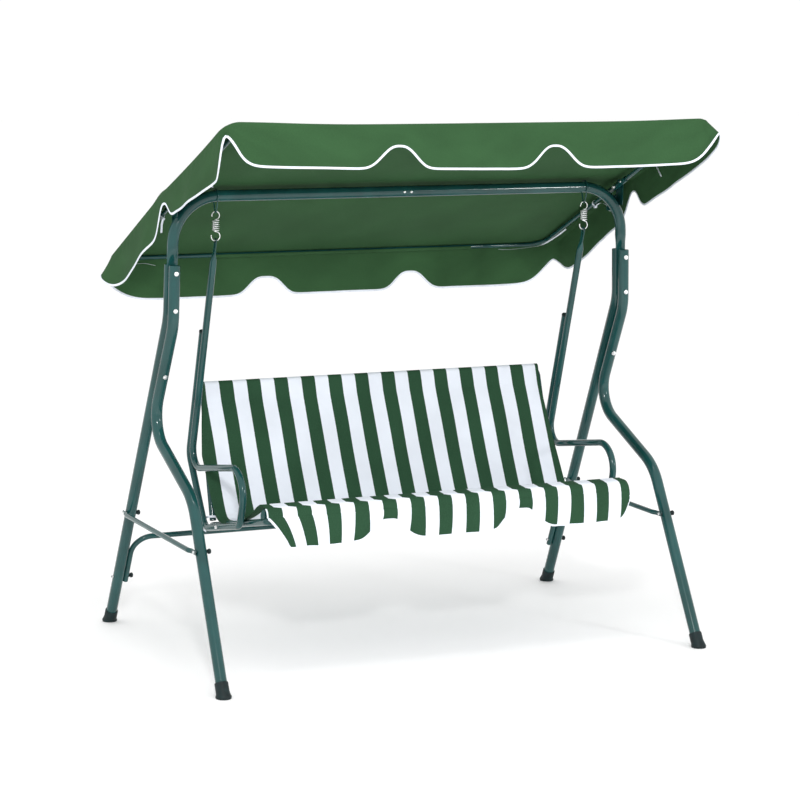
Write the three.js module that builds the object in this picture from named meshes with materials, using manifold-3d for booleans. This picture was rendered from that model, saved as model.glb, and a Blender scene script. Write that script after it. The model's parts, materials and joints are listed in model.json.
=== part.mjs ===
// Canopy swing bench: a powder-coated tube stand, a sling seat hung on two springs and a tilting canopy.
// Millimetres, +Z up. X runs along the seat, the seat faces -Y, and the stand rests on z = 0,
// with the origin on the ground halfway between the four feet.
import * as THREE from "three";
import { mergeVertices } from "three/addons/utils/BufferGeometryUtils.js";
import Module from "manifold-3d";

const wasm = await Module();
wasm.setup();

// ---------- driving dimensions ----------
const GAP = 0.3; // running gap between pieces that touch

const FOOT_X = 825; // foot centres, from the middle of the stand
const FOOT_Y = 525;
const LEG_R = 18; // leg and arch tubes, outer radius
const LEG_WALL = 1.5;
const LEG_TOP_Z = 1246;
const LEG_TOP_X = 795; // each end frame leans in towards its top
const BAR_Z = 1457; // centre of the top bar, which is the axis of the swing and of the canopy
const ARCH_BEND_R = 150;
const ARCH_END_Z = 1092;
const FLAT = 5; // thickness of a flattened arch end
const BOLT_R = 3.2;
const BOLT_TAIL = 8; // length of a bolt's end past the last tube, for its nut
const HOLE_R = 3.7;
const LEG_BOLT_Z = [1222, 1106]; // bolts along Y through leg, arch end and leg

const FRONT_LEG_TILT = 0.49; // rearward run per unit of drop below the shoulder
const FRONT_LEG_AT = [58, 897]; // y, z of the lower bolt on the front leg's centre line
const FRONT_KNEE = [148, 714]; // y, z where the front leg turns forward
const FRONT_SHIN = [-228, 548]; // y, z where it turns down to the foot
const REAR_SHOULDER_Z = 1080; // the rear leg is upright above this
const LEG_END_Z = 9; // the legs' open lower ends, inside the foot caps
const FOOT_CAP_R = 25;
const FOOT_CAP_H = 42;

const BRACE_R = 8; // side braces
const BRACE_Z = 402;
const TIE_R = 9; // cross tube between the rear legs
const TIE_Z = 310;
const TIE_END_Z = 150;
const TIE_KNOB_Z = 169;

const HANGER_X = 652; // hangers, armrests, uprights and side rails share this plane
const HANGER_R = 11;
const HANGER_WALL = 1.2;
const LOOP_WIRE_R = 2;
const LOOP_LOW_Z = 1405; // centre of the loop's lowest wire
const SPRING_WIRE_R = 1.6;
const SPRING_R = 10.5; // mean radius of the coil
const SPRING_TURNS = 6;
const UPPER_HOOK_R = 12.5;
const LOWER_HOOK_R = 14.5;
const HOOK_PIN_Z = 1317; // centre of the wire that carries the hanger
const EYE_R = 5.5;

const ARM_REAR = [219, 560]; // y, z corners of the hanger and armrest tube
const ARM_FRONT = [-276, 645];
const ARM_LOW = [-214, 452]; // the armrest's tube turns rearward here, and the side rail plugs into it
const ARM_END = [-140, 437];
const UPRIGHT_OFFSET = 24.5; // upright behind the hanger, centre to centre
const UPRIGHT_TOP_Z = 1008;
const UPRIGHT_ELBOW_Z = 600;
const HANGER_BOLT_Z = [652, 775];
const RAIL_REAR = [88, 388];
const PLUG = 40; // length and radius of the side rail's narrowed end
const PLUG_R = 7.9;
const FRAME_X = 621; // seat frame's side tubes, inside the side rails
const FRAME_REAR = [100, 391];
const FRAME_FRONT = [-376, 494];
const SEAT_FRONT = [-336, 527]; // y, z of the cross tubes' centres
const SEAT_REAR = [44, 403];
const SEAT_BOLT_Y = -40;
const BACK_TOP = [226, 825, 606];
const BACK_MIDDLE = [166, 600, 614];
const BACK_FOOT = [92, 392];
const SLING_X = 603; // half width of the sling

const BRACKET_WEB_X = 785; // inner face of the canopy bracket's upright web
const BRACKET_SHEET = 3;
const BRACKET_BOLT_ANGLE = 56; // degrees round the arch's bend, from straight up
const CHEEK_LENGTH = 38;

const CANOPY_TILT = 25; // degrees, front edge up
const CANOPY_X = 825;
const FRONT_REACH = 556; // from the pivot to the bows' cross tubes, along the slope
const REAR_REACH = 575;
const BOW_R = 7;
const BOW_X = 774;
const SLEEVE_R = 9.4;
const CLOTH = 2;
const VALANCE = 140;
const VALANCE_NOTCH = 68;

// ---------- materials ----------
const coat = { color: 0x1f4f4c, roughness: 0.32, metalness: 0.25 };
const zinc = { color: 0xc9ccce, roughness: 0.3, metalness: 0.95 };
const black = { color: 0x141716, roughness: 0.55, metalness: 0 };
const greenCloth = { color: 0x3d6440, roughness: 0.85, metalness: 0 };
const stripedCloth = { color: 0xe6eaf2, roughness: 0.85, metalness: 0 };

const swing = new THREE.Group();

function add(name, geometry, look) {
  const mesh = new THREE.Mesh(geometry, new THREE.MeshStandardMaterial(look));
  mesh.name = name;
  swing.add(mesh);
}

// Runs make(side, label) for the left (-1) and right (+1) of the swing.
function bothSides(make) {
  make(-1, "left");
  make(1, "right");
}

// ---------- booleans ----------
function toSolid(geometry) {
  const bare = geometry.clone();
  bare.deleteAttribute("normal");
  bare.deleteAttribute("uv");
  const merged = mergeVertices(bare, 1e-4);
  return new wasm.Manifold(new wasm.Mesh({
    numProp: 3,
    vertProperties: new Float32Array(merged.attributes.position.array),
    triVerts: new Uint32Array(merged.index.array),
  }));
}

function toGeometry(solid) {
  const mesh = solid.getMesh();
  const geometry = new THREE.BufferGeometry();
  geometry.setAttribute("position", new THREE.BufferAttribute(mesh.vertProperties, 3));
  geometry.setIndex(new THREE.BufferAttribute(mesh.triVerts, 1));
  geometry.computeVertexNormals();
  return geometry;
}

function cut(geometry, tools) {
  return toGeometry(tools.reduce((solid, tool) => solid.subtract(toSolid(tool)), toSolid(geometry)));
}

function join(geometries) {
  return toGeometry(geometries.map(toSolid).reduce((whole, solid) => whole.add(solid)));
}

// ---------- tubes ----------
// A curve given by stations, each a point and a direction, so that straight runs cost one step.
class StationCurve extends THREE.Curve {
  constructor(stations) {
    super();
    this.stations = stations;
  }

  station(u) {
    return this.stations[Math.round(u * (this.stations.length - 1))];
  }

  getPoint(u, target = new THREE.Vector3()) {
    return target.copy(this.station(u).point);
  }

  getPointAt(u, target = new THREE.Vector3()) {
    return this.getPoint(u, target);
  }

  getTangentAt(u, target = new THREE.Vector3()) {
    return target.copy(this.station(u).tangent);
  }
}

// Straight runs between corners, each corner rounded to its bend radius.
function bentPath(corners, radii, stepDegrees = 24) {
  const stations = [];
  const last = corners.length - 1;
  const runs = corners.slice(1).map((corner, i) => corner.clone().sub(corners[i]).normalize());
  stations.push({ point: corners[0], tangent: runs[0] });
  for (let i = 1; i < last; i += 1) {
    const [before, after] = [runs[i - 1], runs[i]];
    const turn = before.angleTo(after);
    const radius = radii[i - 1];
    const inward = after.clone().sub(before).normalize();
    const centre = corners[i].clone().addScaledVector(inward, radius / Math.cos(turn / 2));
    const start = corners[i].clone().addScaledVector(before, -radius * Math.tan(turn / 2));
    const axis = before.clone().cross(after).normalize();
    const steps = Math.max(1, Math.ceil(THREE.MathUtils.radToDeg(turn) / stepDegrees));
    for (let step = 0; step <= steps; step += 1) {
      const angle = turn * step / steps;
      const point = start.clone().sub(centre).applyAxisAngle(axis, angle).add(centre);
      stations.push({ point, tangent: before.clone().applyAxisAngle(axis, angle) });
    }
  }
  stations.push({ point: corners[last], tangent: runs[last - 1] });
  return new StationCurve(stations);
}

function ring(radius, sides) {
  return Array.from({ length: sides }, (_, i) => {
    const angle = 2 * Math.PI * (i + 0.5) / sides;
    return new THREE.Vector2(radius * Math.cos(angle), radius * Math.sin(angle));
  });
}

// A round tube along a path; with a wall it is open at both ends, without one it is a bar.
function tube(path, radius, wall = 0, sides = 10, boreSides = 6) {
  const section = new THREE.Shape(ring(radius, sides));
  if (wall > 0) {
    section.holes.push(new THREE.Path(ring(radius - wall, boreSides)));
  }
  const steps = path.stations.length - 1;
  return new THREE.ExtrudeGeometry(section, { steps, extrudePath: path, bevelEnabled: false });
}

// Presses a tube flat along one axis towards a plane, fully below `flat` and not at all above `round`,
// both measured by the function `along`.
function flatten(geometry, axis, plane, ratio, along, flat, round) {
  const position = geometry.attributes.position;
  const point = new THREE.Vector3();
  for (let i = 0; i < position.count; i += 1) {
    point.fromBufferAttribute(position, i);
    const blend = THREE.MathUtils.clamp((along(point) - flat) / (round - flat), 0, 1);
    const scale = ratio + (1 - ratio) * blend;
    position.setComponent(i, axis, plane + (point.getComponent(axis) - plane) * scale);
  }
  return geometry;
}

// A cylinder between two points, for holes.
function rod(from, to, radius, sides = 8) {
  return tube(bentPath([from, to], []), radius, 0, sides);
}

// A turned piece with its profile of [radius, height] pairs, its base at `from` and its axis towards `to`.
function turned(profile, from, to, sides = 8) {
  const points = profile.map(([radius, height]) => new THREE.Vector2(radius, height));
  const geometry = new THREE.LatheGeometry(points, sides);
  const axis = to.clone().sub(from).normalize();
  geometry.applyQuaternion(new THREE.Quaternion().setFromUnitVectors(new THREE.Vector3(0, 1, 0), axis));
  return geometry.translate(from.x, from.y, from.z);
}

function bolt(from, to, headRadius = 6.5, headHeight = 4.5) {
  const length = from.distanceTo(to);
  const head = [[0, -headHeight], [headRadius, -headHeight], [headRadius, 0]];
  const profile = [...head, [BOLT_R, 0], [BOLT_R, length], [0, length]];
  return turned(profile, from, to);
}

// ---------- stand ----------
function leanX(z) {
  return FOOT_X + (LEG_TOP_X - FOOT_X) * z / LEG_TOP_Z;
}

function onFrame(side, y, z) {
  return new THREE.Vector3(side * leanX(z), y, z);
}

function legY(foot) {
  return foot * (FLAT / 2 + GAP + LEG_R);
}

const frontShoulderZ = FRONT_LEG_AT[1] + (FRONT_LEG_AT[0] - legY(-1)) / FRONT_LEG_TILT;
const rearTilt = (FOOT_Y - legY(1)) / REAR_SHOULDER_Z;

function frontLegY(z) {
  return -FOOT_Y + (FRONT_SHIN[0] + FOOT_Y) * z / FRONT_SHIN[1];
}

function rearLegY(z) {
  return FOOT_Y - rearTilt * z;
}

function frontLegCorners(side) {
  return [
    onFrame(side, legY(-1), LEG_TOP_Z),
    onFrame(side, legY(-1), frontShoulderZ),
    onFrame(side, ...FRONT_KNEE),
    onFrame(side, ...FRONT_SHIN),
    onFrame(side, frontLegY(LEG_END_Z), LEG_END_Z),
  ];
}

function rearLegCorners(side) {
  return [
    onFrame(side, legY(1), LEG_TOP_Z),
    onFrame(side, legY(1), REAR_SHOULDER_Z),
    onFrame(side, rearLegY(LEG_END_Z), LEG_END_Z),
  ];
}

// The three bolts that clamp the two legs of a side together, each as [head end, nut end].
function legBoltLines(side) {
  const lines = LEG_BOLT_Z.map((z) => [
    onFrame(side, legY(-1) - LEG_R - GAP, z),
    onFrame(side, legY(1) + LEG_R + BOLT_TAIL, z),
  ]);
  const across = new THREE.Vector3(0, 1, FRONT_LEG_TILT).normalize();
  const middle = onFrame(side, ...FRONT_LEG_AT);
  lines.push([
    middle.clone().addScaledVector(across, -LEG_R - GAP),
    middle.clone().addScaledVector(across, 3 * LEG_R + 2 * BOLT_TAIL),
  ]);
  return lines;
}

// The knob screws along X: through each brace end and leg, or through the tie bar's end and leg.
function braceKnobLine(side, y, z) {
  const x = side * leanX(z);
  return [new THREE.Vector3(x + LEG_R + GAP, y, z), new THREE.Vector3(x - LEG_R - BRACE_R, y, z)];
}

function tieKnobLine(side) {
  const x = side * leanX(TIE_KNOB_Z);
  const inner = x + LEG_R + GAP + (side < 0 ? 2 * TIE_R + GAP : 0);
  const outer = x - LEG_R - 6 - (side > 0 ? 2 * TIE_R : 0);
  return [inner, outer].map((end) => new THREE.Vector3(end, rearLegY(TIE_KNOB_Z), TIE_KNOB_Z));
}

function drill([from, to], radius = HOLE_R) {
  const reach = to.clone().sub(from).normalize().multiplyScalar(12);
  return rod(from.clone().sub(reach), to.clone().add(reach), radius);
}

function knobScrew([face, tip]) {
  const length = face.distanceTo(tip);
  const profile = [[0, -13], [6, -13], [7.5, 0], [BOLT_R, 0], [BOLT_R, length], [0, length]];
  return turned(profile, face, tip);
}

function makeLegs(side, label) {
  const boltLines = legBoltLines(side);
  const boltHoles = boltLines.map((line) => drill(line));
  const frontKnob = braceKnobLine(side, frontLegY(BRACE_Z), BRACE_Z);
  const rearKnob = braceKnobLine(side, rearLegY(BRACE_Z), BRACE_Z);
  const tieKnob = tieKnobLine(side);
  const front = tube(bentPath(frontLegCorners(side), [150, 105, 170]), LEG_R, LEG_WALL, 12);
  const rear = tube(bentPath(rearLegCorners(side), [150]), LEG_R, LEG_WALL, 12);
  add(`front_leg_${label}`, cut(front, [...boltHoles, drill(frontKnob)]), coat);
  add(`rear_leg_${label}`, cut(rear, [...boltHoles, drill(rearKnob), drill(tieKnob)]), coat);
  ["upper", "middle", "lower"].forEach((place, i) => {
    add(`leg_bolt_${place}_${label}`, bolt(...boltLines[i]), zinc);
  });
  add(`brace_knob_front_${label}`, knobScrew(frontKnob), black);
  add(`brace_knob_rear_${label}`, knobScrew(rearKnob), black);
  add(`tie_knob_${label}`, knobScrew(tieKnob), black);
}

// Half of the arch: a straight half bar, a bend, and a flattened end that the legs clamp.
function makeArch(side, label) {
  const path = bentPath([
    new THREE.Vector3(side * GAP / 2, 0, BAR_Z),
    onFrame(side, 0, BAR_Z),
    onFrame(side, 0, ARCH_END_Z),
  ], [ARCH_BEND_R]);
  const end = path.stations.pop();
  const flatBelow = LEG_TOP_Z + 6;
  const roundAbove = flatBelow + 45;
  for (const z of [roundAbove, flatBelow]) {
    path.stations.push({ point: onFrame(side, 0, z), tangent: end.tangent });
  }
  path.stations.push(end);
  const round = tube(path, LEG_R, LEG_WALL, 12);
  const pressed = flatten(round, 1, 0, FLAT / 2 / LEG_R, (p) => p.z, flatBelow, roundAbove);
  const bracketBolt = bracketBoltLine(side);
  const holes = LEG_BOLT_Z.map((z) => rod(onFrame(side, -30, z), onFrame(side, 30, z), HOLE_R));
  add(`arch_${label}`, cut(pressed, [...holes, drill(bracketBolt)]), coat);
}

function makeArchSleeve() {
  const path = bentPath([-80, 80].map((x) => new THREE.Vector3(x, 0, BAR_Z)), []);
  add("arch_sleeve", tube(path, LEG_R - LEG_WALL - 2.4, 1.5), zinc);
}

// Flared cap: a sleeve round the leg's end on a level foot.
function makeFootCap(side, end, label) {
  const y = end * FOOT_Y;
  const legAt = end < 0 ? frontLegY : rearLegY;
  const low = onFrame(side, legAt(-30), -30);
  const high = onFrame(side, legAt(FOOT_CAP_H), FOOT_CAP_H);
  const sleeve = rod(low, high, LEG_R + 3, 12);
  const foot = new THREE.LatheGeometry([[0, 0], [FOOT_CAP_R, 0], [FOOT_CAP_R, 4], [LEG_R + 3, 16], [0, 16]]
    .map(([r, h]) => new THREE.Vector2(r, h)), 12);
  foot.rotateX(Math.PI / 2).translate(side * FOOT_X, y, 0);
  const below = new THREE.BoxGeometry(160, 160, 60).translate(side * FOOT_X, y, -30);
  const legEnd = onFrame(side, legAt(LEG_END_Z), LEG_END_Z);
  const past = onFrame(side, legAt(FOOT_CAP_H + 20), FOOT_CAP_H + 20);
  const socketStart = legEnd.clone().addScaledVector(past.clone().sub(legEnd).normalize(), -GAP);
  const socket = rod(socketStart, past, LEG_R + 3 * GAP, 12);
  add(`foot_cap_${label}`, cut(join([sleeve, foot]), [below, socket]), black);
}

// Straight tube across the outer or inner face of both legs of a side, flattened and drilled at its ends.
function makeSideBrace(side, label) {
  const x = side * leanX(BRACE_Z) - LEG_R - 2 * GAP;
  const yFront = frontLegY(BRACE_Z) - 14;
  const yRear = rearLegY(BRACE_Z) + 14;
  const flatLength = 34;
  const taper = 22;
  const insets = [0, flatLength, flatLength + taper];
  const stops = [...insets.map((inset) => yFront + inset), ...insets.map((inset) => yRear - inset).reverse()];
  const stations = stops.map((y) => ({
    point: new THREE.Vector3(x - BRACE_R, y, BRACE_Z),
    tangent: new THREE.Vector3(0, 1, 0),
  }));
  const brace = tube(new StationCurve(stations), BRACE_R, 1.2);
  const fromEnd = (p) => Math.min(p.y - yFront, yRear - p.y);
  flatten(brace, 0, x, 0.3, fromEnd, flatLength, flatLength + taper);
  const holes = [frontLegY(BRACE_Z), rearLegY(BRACE_Z)].map((y) => drill(braceKnobLine(side, y, BRACE_Z)));
  add(`side_brace_${label}`, cut(brace, holes), coat);
}

function makeTieBar() {
  const inset = LEG_R + TIE_R + GAP;
  const at = (side, z) => new THREE.Vector3(side * (leanX(z) - inset), rearLegY(z), z);
  const path = bentPath([at(-1, TIE_END_Z), at(-1, TIE_Z), at(1, TIE_Z), at(1, TIE_END_Z)], [65, 65]);
  const holes = [-1, 1].map((side) => drill(tieKnobLine(side)));
  add("rear_tie_bar", cut(tube(path, TIE_R, 1.2), holes), coat);
}

// ---------- canopy brackets ----------
// The bracket's own screw passes through its cheek into the back of the arch's bend.
function bracketBoltLine(side) {
  const angle = THREE.MathUtils.degToRad(BRACKET_BOLT_ANGLE);
  const bendX = leanX(BAR_Z) - ARCH_BEND_R;
  const x = side * (bendX + ARCH_BEND_R * Math.sin(angle));
  const z = BAR_Z - ARCH_BEND_R + ARCH_BEND_R * Math.cos(angle);
  const y = LEG_R + 3 * GAP + BRACKET_SHEET;
  return [new THREE.Vector3(x, y, z), new THREE.Vector3(x, LEG_R - LEG_WALL - 7, z)];
}

// Angle on the arch's bend: a web with a round top on its outer side, and a cheek behind the tube.
function makeBracket(side, label) {
  const cheekY = LEG_R + 2 * GAP;
  const halfWidth = cheekY + BRACKET_SHEET;
  const outerX = BRACKET_WEB_X + BRACKET_SHEET;
  const bracketTop = BAR_Z + halfWidth + 2;
  const [webLow, cheekLow, cheekTop] = [BAR_Z - 61, BAR_Z - 81, BAR_Z - 31];
  const web = new THREE.Shape();
  web.moveTo(-halfWidth, webLow);
  web.lineTo(halfWidth, webLow);
  web.lineTo(halfWidth, bracketTop - halfWidth);
  web.absarc(0, bracketTop - halfWidth, halfWidth, 0, Math.PI, false);
  const sheet = { depth: BRACKET_SHEET, bevelEnabled: false, curveSegments: 8 };
  const webSolid = new THREE.ExtrudeGeometry(web, sheet);
  webSolid.rotateX(Math.PI / 2).rotateZ(Math.PI / 2);
  webSolid.translate(side * (BRACKET_WEB_X + BRACKET_SHEET / 2) - BRACKET_SHEET / 2, 0, 0);
  const cheekInner = outerX - CHEEK_LENGTH;
  const corners = [[cheekInner, cheekLow], [outerX, cheekLow], [outerX, cheekTop]];
  corners.push([cheekInner + 14, cheekTop], [cheekInner, cheekTop - 14]);
  const cheek = new THREE.Shape(corners.map(([x, z]) => new THREE.Vector2(side * x, z)));
  const cheekSolid = new THREE.ExtrudeGeometry(cheek, sheet);
  cheekSolid.rotateX(Math.PI / 2).translate(0, cheekY + BRACKET_SHEET, 0);
  const tiltEnds = [outerX + GAP, BOW_X - SLEEVE_R - BOLT_TAIL];
  const tiltBolt = tiltEnds.map((x) => new THREE.Vector3(side * x, 0, BAR_Z));
  const holes = [tiltBolt, bracketBoltLine(side)].map((line) => drill(line));
  add(`canopy_bracket_${label}`, cut(join([webSolid, cheekSolid]), holes), coat);
  add(`tilt_bolt_${label}`, bolt(...tiltBolt, 8, 5), zinc);
  add(`bracket_bolt_${label}`, bolt(...bracketBoltLine(side)), zinc);
}

// ---------- suspension ----------
// Wire loop over the top bar, closed under it where the spring's hook sits.
function makeWireLoop(side, label) {
  const topR = LEG_R + 4 * GAP + LOOP_WIRE_R;
  const lowR = 6;
  const drop = BAR_Z - (LOOP_LOW_Z + lowR);
  const lean = Math.asin((topR - lowR) / drop);
  const stations = [];
  const arc = (centreZ, radius, from, to, steps) => {
    for (let i = 0; i <= steps; i += 1) {
      const angle = from + (to - from) * i / steps;
      stations.push({
        point: new THREE.Vector3(side * HANGER_X, radius * Math.cos(angle), centreZ + radius * Math.sin(angle)),
        tangent: new THREE.Vector3(0, -Math.sin(angle), Math.cos(angle)),
      });
    }
  };
  const slit = 0.05;
  arc(LOOP_LOW_Z + lowR, lowR, -Math.PI / 2 + slit, -lean, 3);
  arc(BAR_Z, topR, -lean, Math.PI + lean, 14);
  arc(LOOP_LOW_Z + lowR, lowR, Math.PI + lean, 3 * Math.PI / 2 - slit, 3);
  add(`wire_loop_${label}`, tube(new StationCurve(stations), LOOP_WIRE_R, 0, 6), coat);
}

// Extension spring: a hook, a coil that opens from and closes to its axis, and a larger hook.
function makeSpring(side, label) {
  const x = side * HANGER_X;
  const points = [];
  const onRing = (radius, angle, z) => {
    return new THREE.Vector3(radius * Math.cos(angle), 0, z + radius * Math.sin(angle));
  };
  const topZ = LOOP_LOW_Z + LOOP_WIRE_R + GAP + SPRING_WIRE_R;
  const upperCentre = topZ - UPPER_HOOK_R;
  const lowerCentre = HOOK_PIN_Z + LOWER_HOOK_R;
  const coilTop = upperCentre - UPPER_HOOK_R;
  const coilLow = lowerCentre + LOWER_HOOK_R;
  for (let i = 0; i < 9; i += 1) {
    const angle = THREE.MathUtils.degToRad(195 - (285 * i) / 9);
    points.push(onRing(UPPER_HOOK_R, angle, upperCentre));
  }
  const coilSteps = SPRING_TURNS * 7;
  for (let i = 0; i <= coilSteps; i += 1) {
    const turn = SPRING_TURNS * i / coilSteps;
    const open = Math.min(1, turn / 0.5, (SPRING_TURNS - turn) / 0.5);
    const radius = SPRING_R * Math.sin(open * Math.PI / 2);
    const angle = Math.PI + 2 * Math.PI * turn;
    const z = coilTop + (coilLow - coilTop) * turn / SPRING_TURNS;
    points.push(new THREE.Vector3(radius * Math.cos(angle), radius * Math.sin(angle), z));
  }
  for (let i = 1; i <= 9; i += 1) {
    const angle = THREE.MathUtils.degToRad(90 - (285 * i) / 9);
    points.push(onRing(LOWER_HOOK_R, angle, lowerCentre));
  }
  const stations = points.map((point, i) => {
    const next = points[Math.min(i + 1, points.length - 1)];
    const tangent = next.clone().sub(points[Math.max(i - 1, 0)]).normalize();
    return { point: point.clone().add(new THREE.Vector3(x, 0, 0)), tangent };
  });
  add(`spring_${label}`, tube(new StationCurve(stations), SPRING_WIRE_R, 0, 6), zinc);
}

// ---------- bench ----------
function onSide(side, [y, z], x = HANGER_X) {
  return new THREE.Vector3(side * x, y, z);
}

const hangerRun = new THREE.Vector2(ARM_REAR[0], ARM_REAR[1] - HOOK_PIN_Z).normalize();
const eyeZ = HOOK_PIN_Z + SPRING_WIRE_R + 3 * GAP - EYE_R;

// A point beside the hanger's centre line: z is its height, offset its distance behind.
function besideHanger(z, offset) {
  const along = (z - HOOK_PIN_Z) / hangerRun.y;
  return [hangerRun.x * along - hangerRun.y * offset, z + hangerRun.x * offset];
}

function hangerBoltLines(side) {
  return HANGER_BOLT_Z.map((z) => [
    onSide(side, besideHanger(z, UPRIGHT_OFFSET + HANGER_R + GAP)),
    onSide(side, besideHanger(z, -HANGER_R - 5)),
  ]);
}

// Hanger and armrest: down from the spring, forward as the armrest, down, and rearward to the side rail.
function makeHanger(side, label) {
  const eye = [0, eyeZ];
  const above = [-hangerRun.x * 10, eyeZ - hangerRun.y * 10];
  const corners = [above, ARM_REAR, ARM_FRONT, ARM_LOW, ARM_END].map((place) => onSide(side, place));
  const path = bentPath(corners, [55, 80, 32]);
  const pressedTo = 1282;
  const roundFrom = 1248;
  const stationAt = (z) => ({ point: onSide(side, besideHanger(z, 0)), tangent: path.stations[0].tangent });
  path.stations.splice(1, 0, stationAt(pressedTo), stationAt(roundFrom));
  const round = tube(path, HANGER_R, HANGER_WALL);
  const pressed = flatten(round, 0, side * HANGER_X, 0.2, (p) => -p.z, -pressedTo, -roundFrom);
  const eyeHole = rod(onSide(side, eye, HANGER_X - 40), onSide(side, eye, HANGER_X + 40), EYE_R, 12);
  add(`hanger_${label}`, cut(pressed, [eyeHole, ...hangerBoltLines(side).map((line) => drill(line))]), coat);
}

// A bolt along X from the side rail into the seat frame.
function seatBoltLine(side) {
  const fraction = (SEAT_BOLT_Y - ARM_END[0]) / (RAIL_REAR[0] - ARM_END[0]);
  const place = [SEAT_BOLT_Y, ARM_END[1] + (RAIL_REAR[1] - ARM_END[1]) * fraction];
  return [onSide(side, place, HANGER_X + HANGER_R + GAP), onSide(side, place, FRAME_X - HANGER_R - 6)];
}

// Upright and side rail: one tube from its capped top down behind the hanger, then forward into the armrest.
function makeSideRail(side, label) {
  const top = besideHanger(UPRIGHT_TOP_Z, UPRIGHT_OFFSET);
  const elbow = besideHanger(UPRIGHT_ELBOW_Z, UPRIGHT_OFFSET);
  const forward = onSide(side, ARM_END).sub(onSide(side, RAIL_REAR)).normalize();
  const end = onSide(side, ARM_END).addScaledVector(forward, -GAP);
  const corners = [onSide(side, top), onSide(side, elbow), onSide(side, RAIL_REAR), end];
  const shoulder = [[0, 0], [HANGER_R - 0.6, 0], [HANGER_R - 0.6, 6]];
  const plugProfile = [...shoulder, [PLUG_R, 6], [PLUG_R, PLUG + 6], [0, PLUG + 6]];
  const plug = turned(plugProfile, end.clone().addScaledVector(forward, -6), end, 10);
  const rail = join([tube(bentPath(corners, [60, 50]), HANGER_R, HANGER_WALL), plug]);
  const holes = [...hangerBoltLines(side), seatBoltLine(side)].map((line) => drill(line));
  add(`side_rail_${label}`, cut(rail, holes), coat);
  add(`seat_bolt_${label}`, bolt(...seatBoltLine(side), 5.5, 4), zinc);
  hangerBoltLines(side).forEach((line, i) => {
    add(`hanger_bolt_${["lower", "upper"][i]}_${label}`, bolt(...line, 5.5, 4), zinc);
  });
  const up = onSide(side, top).sub(onSide(side, elbow)).normalize();
  const base = onSide(side, top).addScaledVector(up, GAP);
  const capProfile = [[0, 0], [HANGER_R + 0.6, 0], [HANGER_R + 0.6, 5], [HANGER_R - 3, 8], [0, 8]];
  add(`upright_cap_${label}`, turned(capProfile, base, base.clone().add(up), 12), black);
}

// A tube whose two halves mirror each other, through corners given as [y, z] or [y, z, x] beside the side rails.
function mirroredTube(places, radii) {
  const [left, right] = [-1, 1].map((side) => places.map((place) => onSide(side, place, place[2] ?? FRAME_X)));
  const path = bentPath([...left, ...right.reverse()], [...radii, ...radii.slice().reverse()]);
  return tube(path, HANGER_R, HANGER_WALL);
}

// U-shaped seat frame between the side rails, the two cross tubes that carry the sling, and the back's own U.
function makeSeat() {
  const railCuts = [-1, 1].map((side) => {
    return rod(onSide(side, FRAME_REAR, FRAME_X), onSide(side, FRAME_FRONT, FRAME_X), HANGER_R + 3 * GAP, 10);
  });
  const frame = mirroredTube([FRAME_REAR, FRAME_FRONT], [28]);
  add("seat_frame", cut(frame, [-1, 1].map((side) => drill(seatBoltLine(side)))), coat);
  const down = new THREE.Vector2(SEAT_FRONT[0], SEAT_FRONT[1] - 42);
  add("seat_front_tube", cut(mirroredTube([[down.x, down.y], SEAT_FRONT], [24]), railCuts), coat);
  const reach = FRAME_X - HANGER_R - GAP;
  const rear = bentPath([-1, 1].map((side) => onSide(side, SEAT_REAR, reach)), []);
  add("seat_rear_tube", tube(rear, HANGER_R, HANGER_WALL), coat);
  add("back_frame", cut(mirroredTube([BACK_FOOT, BACK_MIDDLE, BACK_TOP], [260, 30]), railCuts), coat);
}

// The sling's side view: a hem round the back's top tube, down the back, along the seat, over the front tube
// and down as a valance.
function makeSling() {
  const wrap = HANGER_R + 4 * GAP + CLOTH / 2;
  const centre = [];
  const arc = ([y, z], radius, from, to, steps) => {
    for (let i = 0; i <= steps; i += 1) {
      const angle = THREE.MathUtils.degToRad(from + (to - from) * i / steps);
      centre.push(new THREE.Vector2(y + radius * Math.cos(angle), z + radius * Math.sin(angle)));
    }
  };
  arc(BACK_TOP, wrap, -15, 157, 10);
  centre.push(new THREE.Vector2(148, 690), new THREE.Vector2(92, 565));
  arc([-8, 474], 45, -25, -100, 4);
  centre.push(new THREE.Vector2(-140, 452), new THREE.Vector2(-250, 493));
  arc(SEAT_FRONT, wrap, 68, 120, 4);
  arc([SEAT_FRONT[0] - 24, SEAT_FRONT[1] - 18], 30, 110, 180, 4);
  centre.push(new THREE.Vector2(SEAT_FRONT[0] - 56, 414));
  const side = (offset) => centre.map((point, i) => {
    const next = centre[Math.min(i + 1, centre.length - 1)];
    const run = next.clone().sub(centre[Math.max(i - 1, 0)]).normalize();
    return new THREE.Vector2(point.x - run.y * offset, point.y + run.x * offset);
  });
  const band = new THREE.Shape([...side(CLOTH / 2), ...side(-CLOTH / 2).reverse()]);
  const sling = new THREE.ExtrudeGeometry(band, { depth: 2 * SLING_X, bevelEnabled: false });
  sling.rotateX(Math.PI / 2).rotateZ(Math.PI / 2).translate(-SLING_X, 0, 0);
  add("sling", sling, stripedCloth);
}

// ---------- canopy ----------
const slope = THREE.MathUtils.degToRad(CANOPY_TILT);

// A point of the canopy's frame: u runs rearward down the slope from the pivot, lift is square to it.
function onCanopy(x, u, lift = 0) {
  const y = u * Math.cos(slope) + lift * Math.sin(slope);
  const z = BAR_Z - u * Math.sin(slope) + lift * Math.cos(slope);
  return new THREE.Vector3(x, y, z);
}

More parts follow.
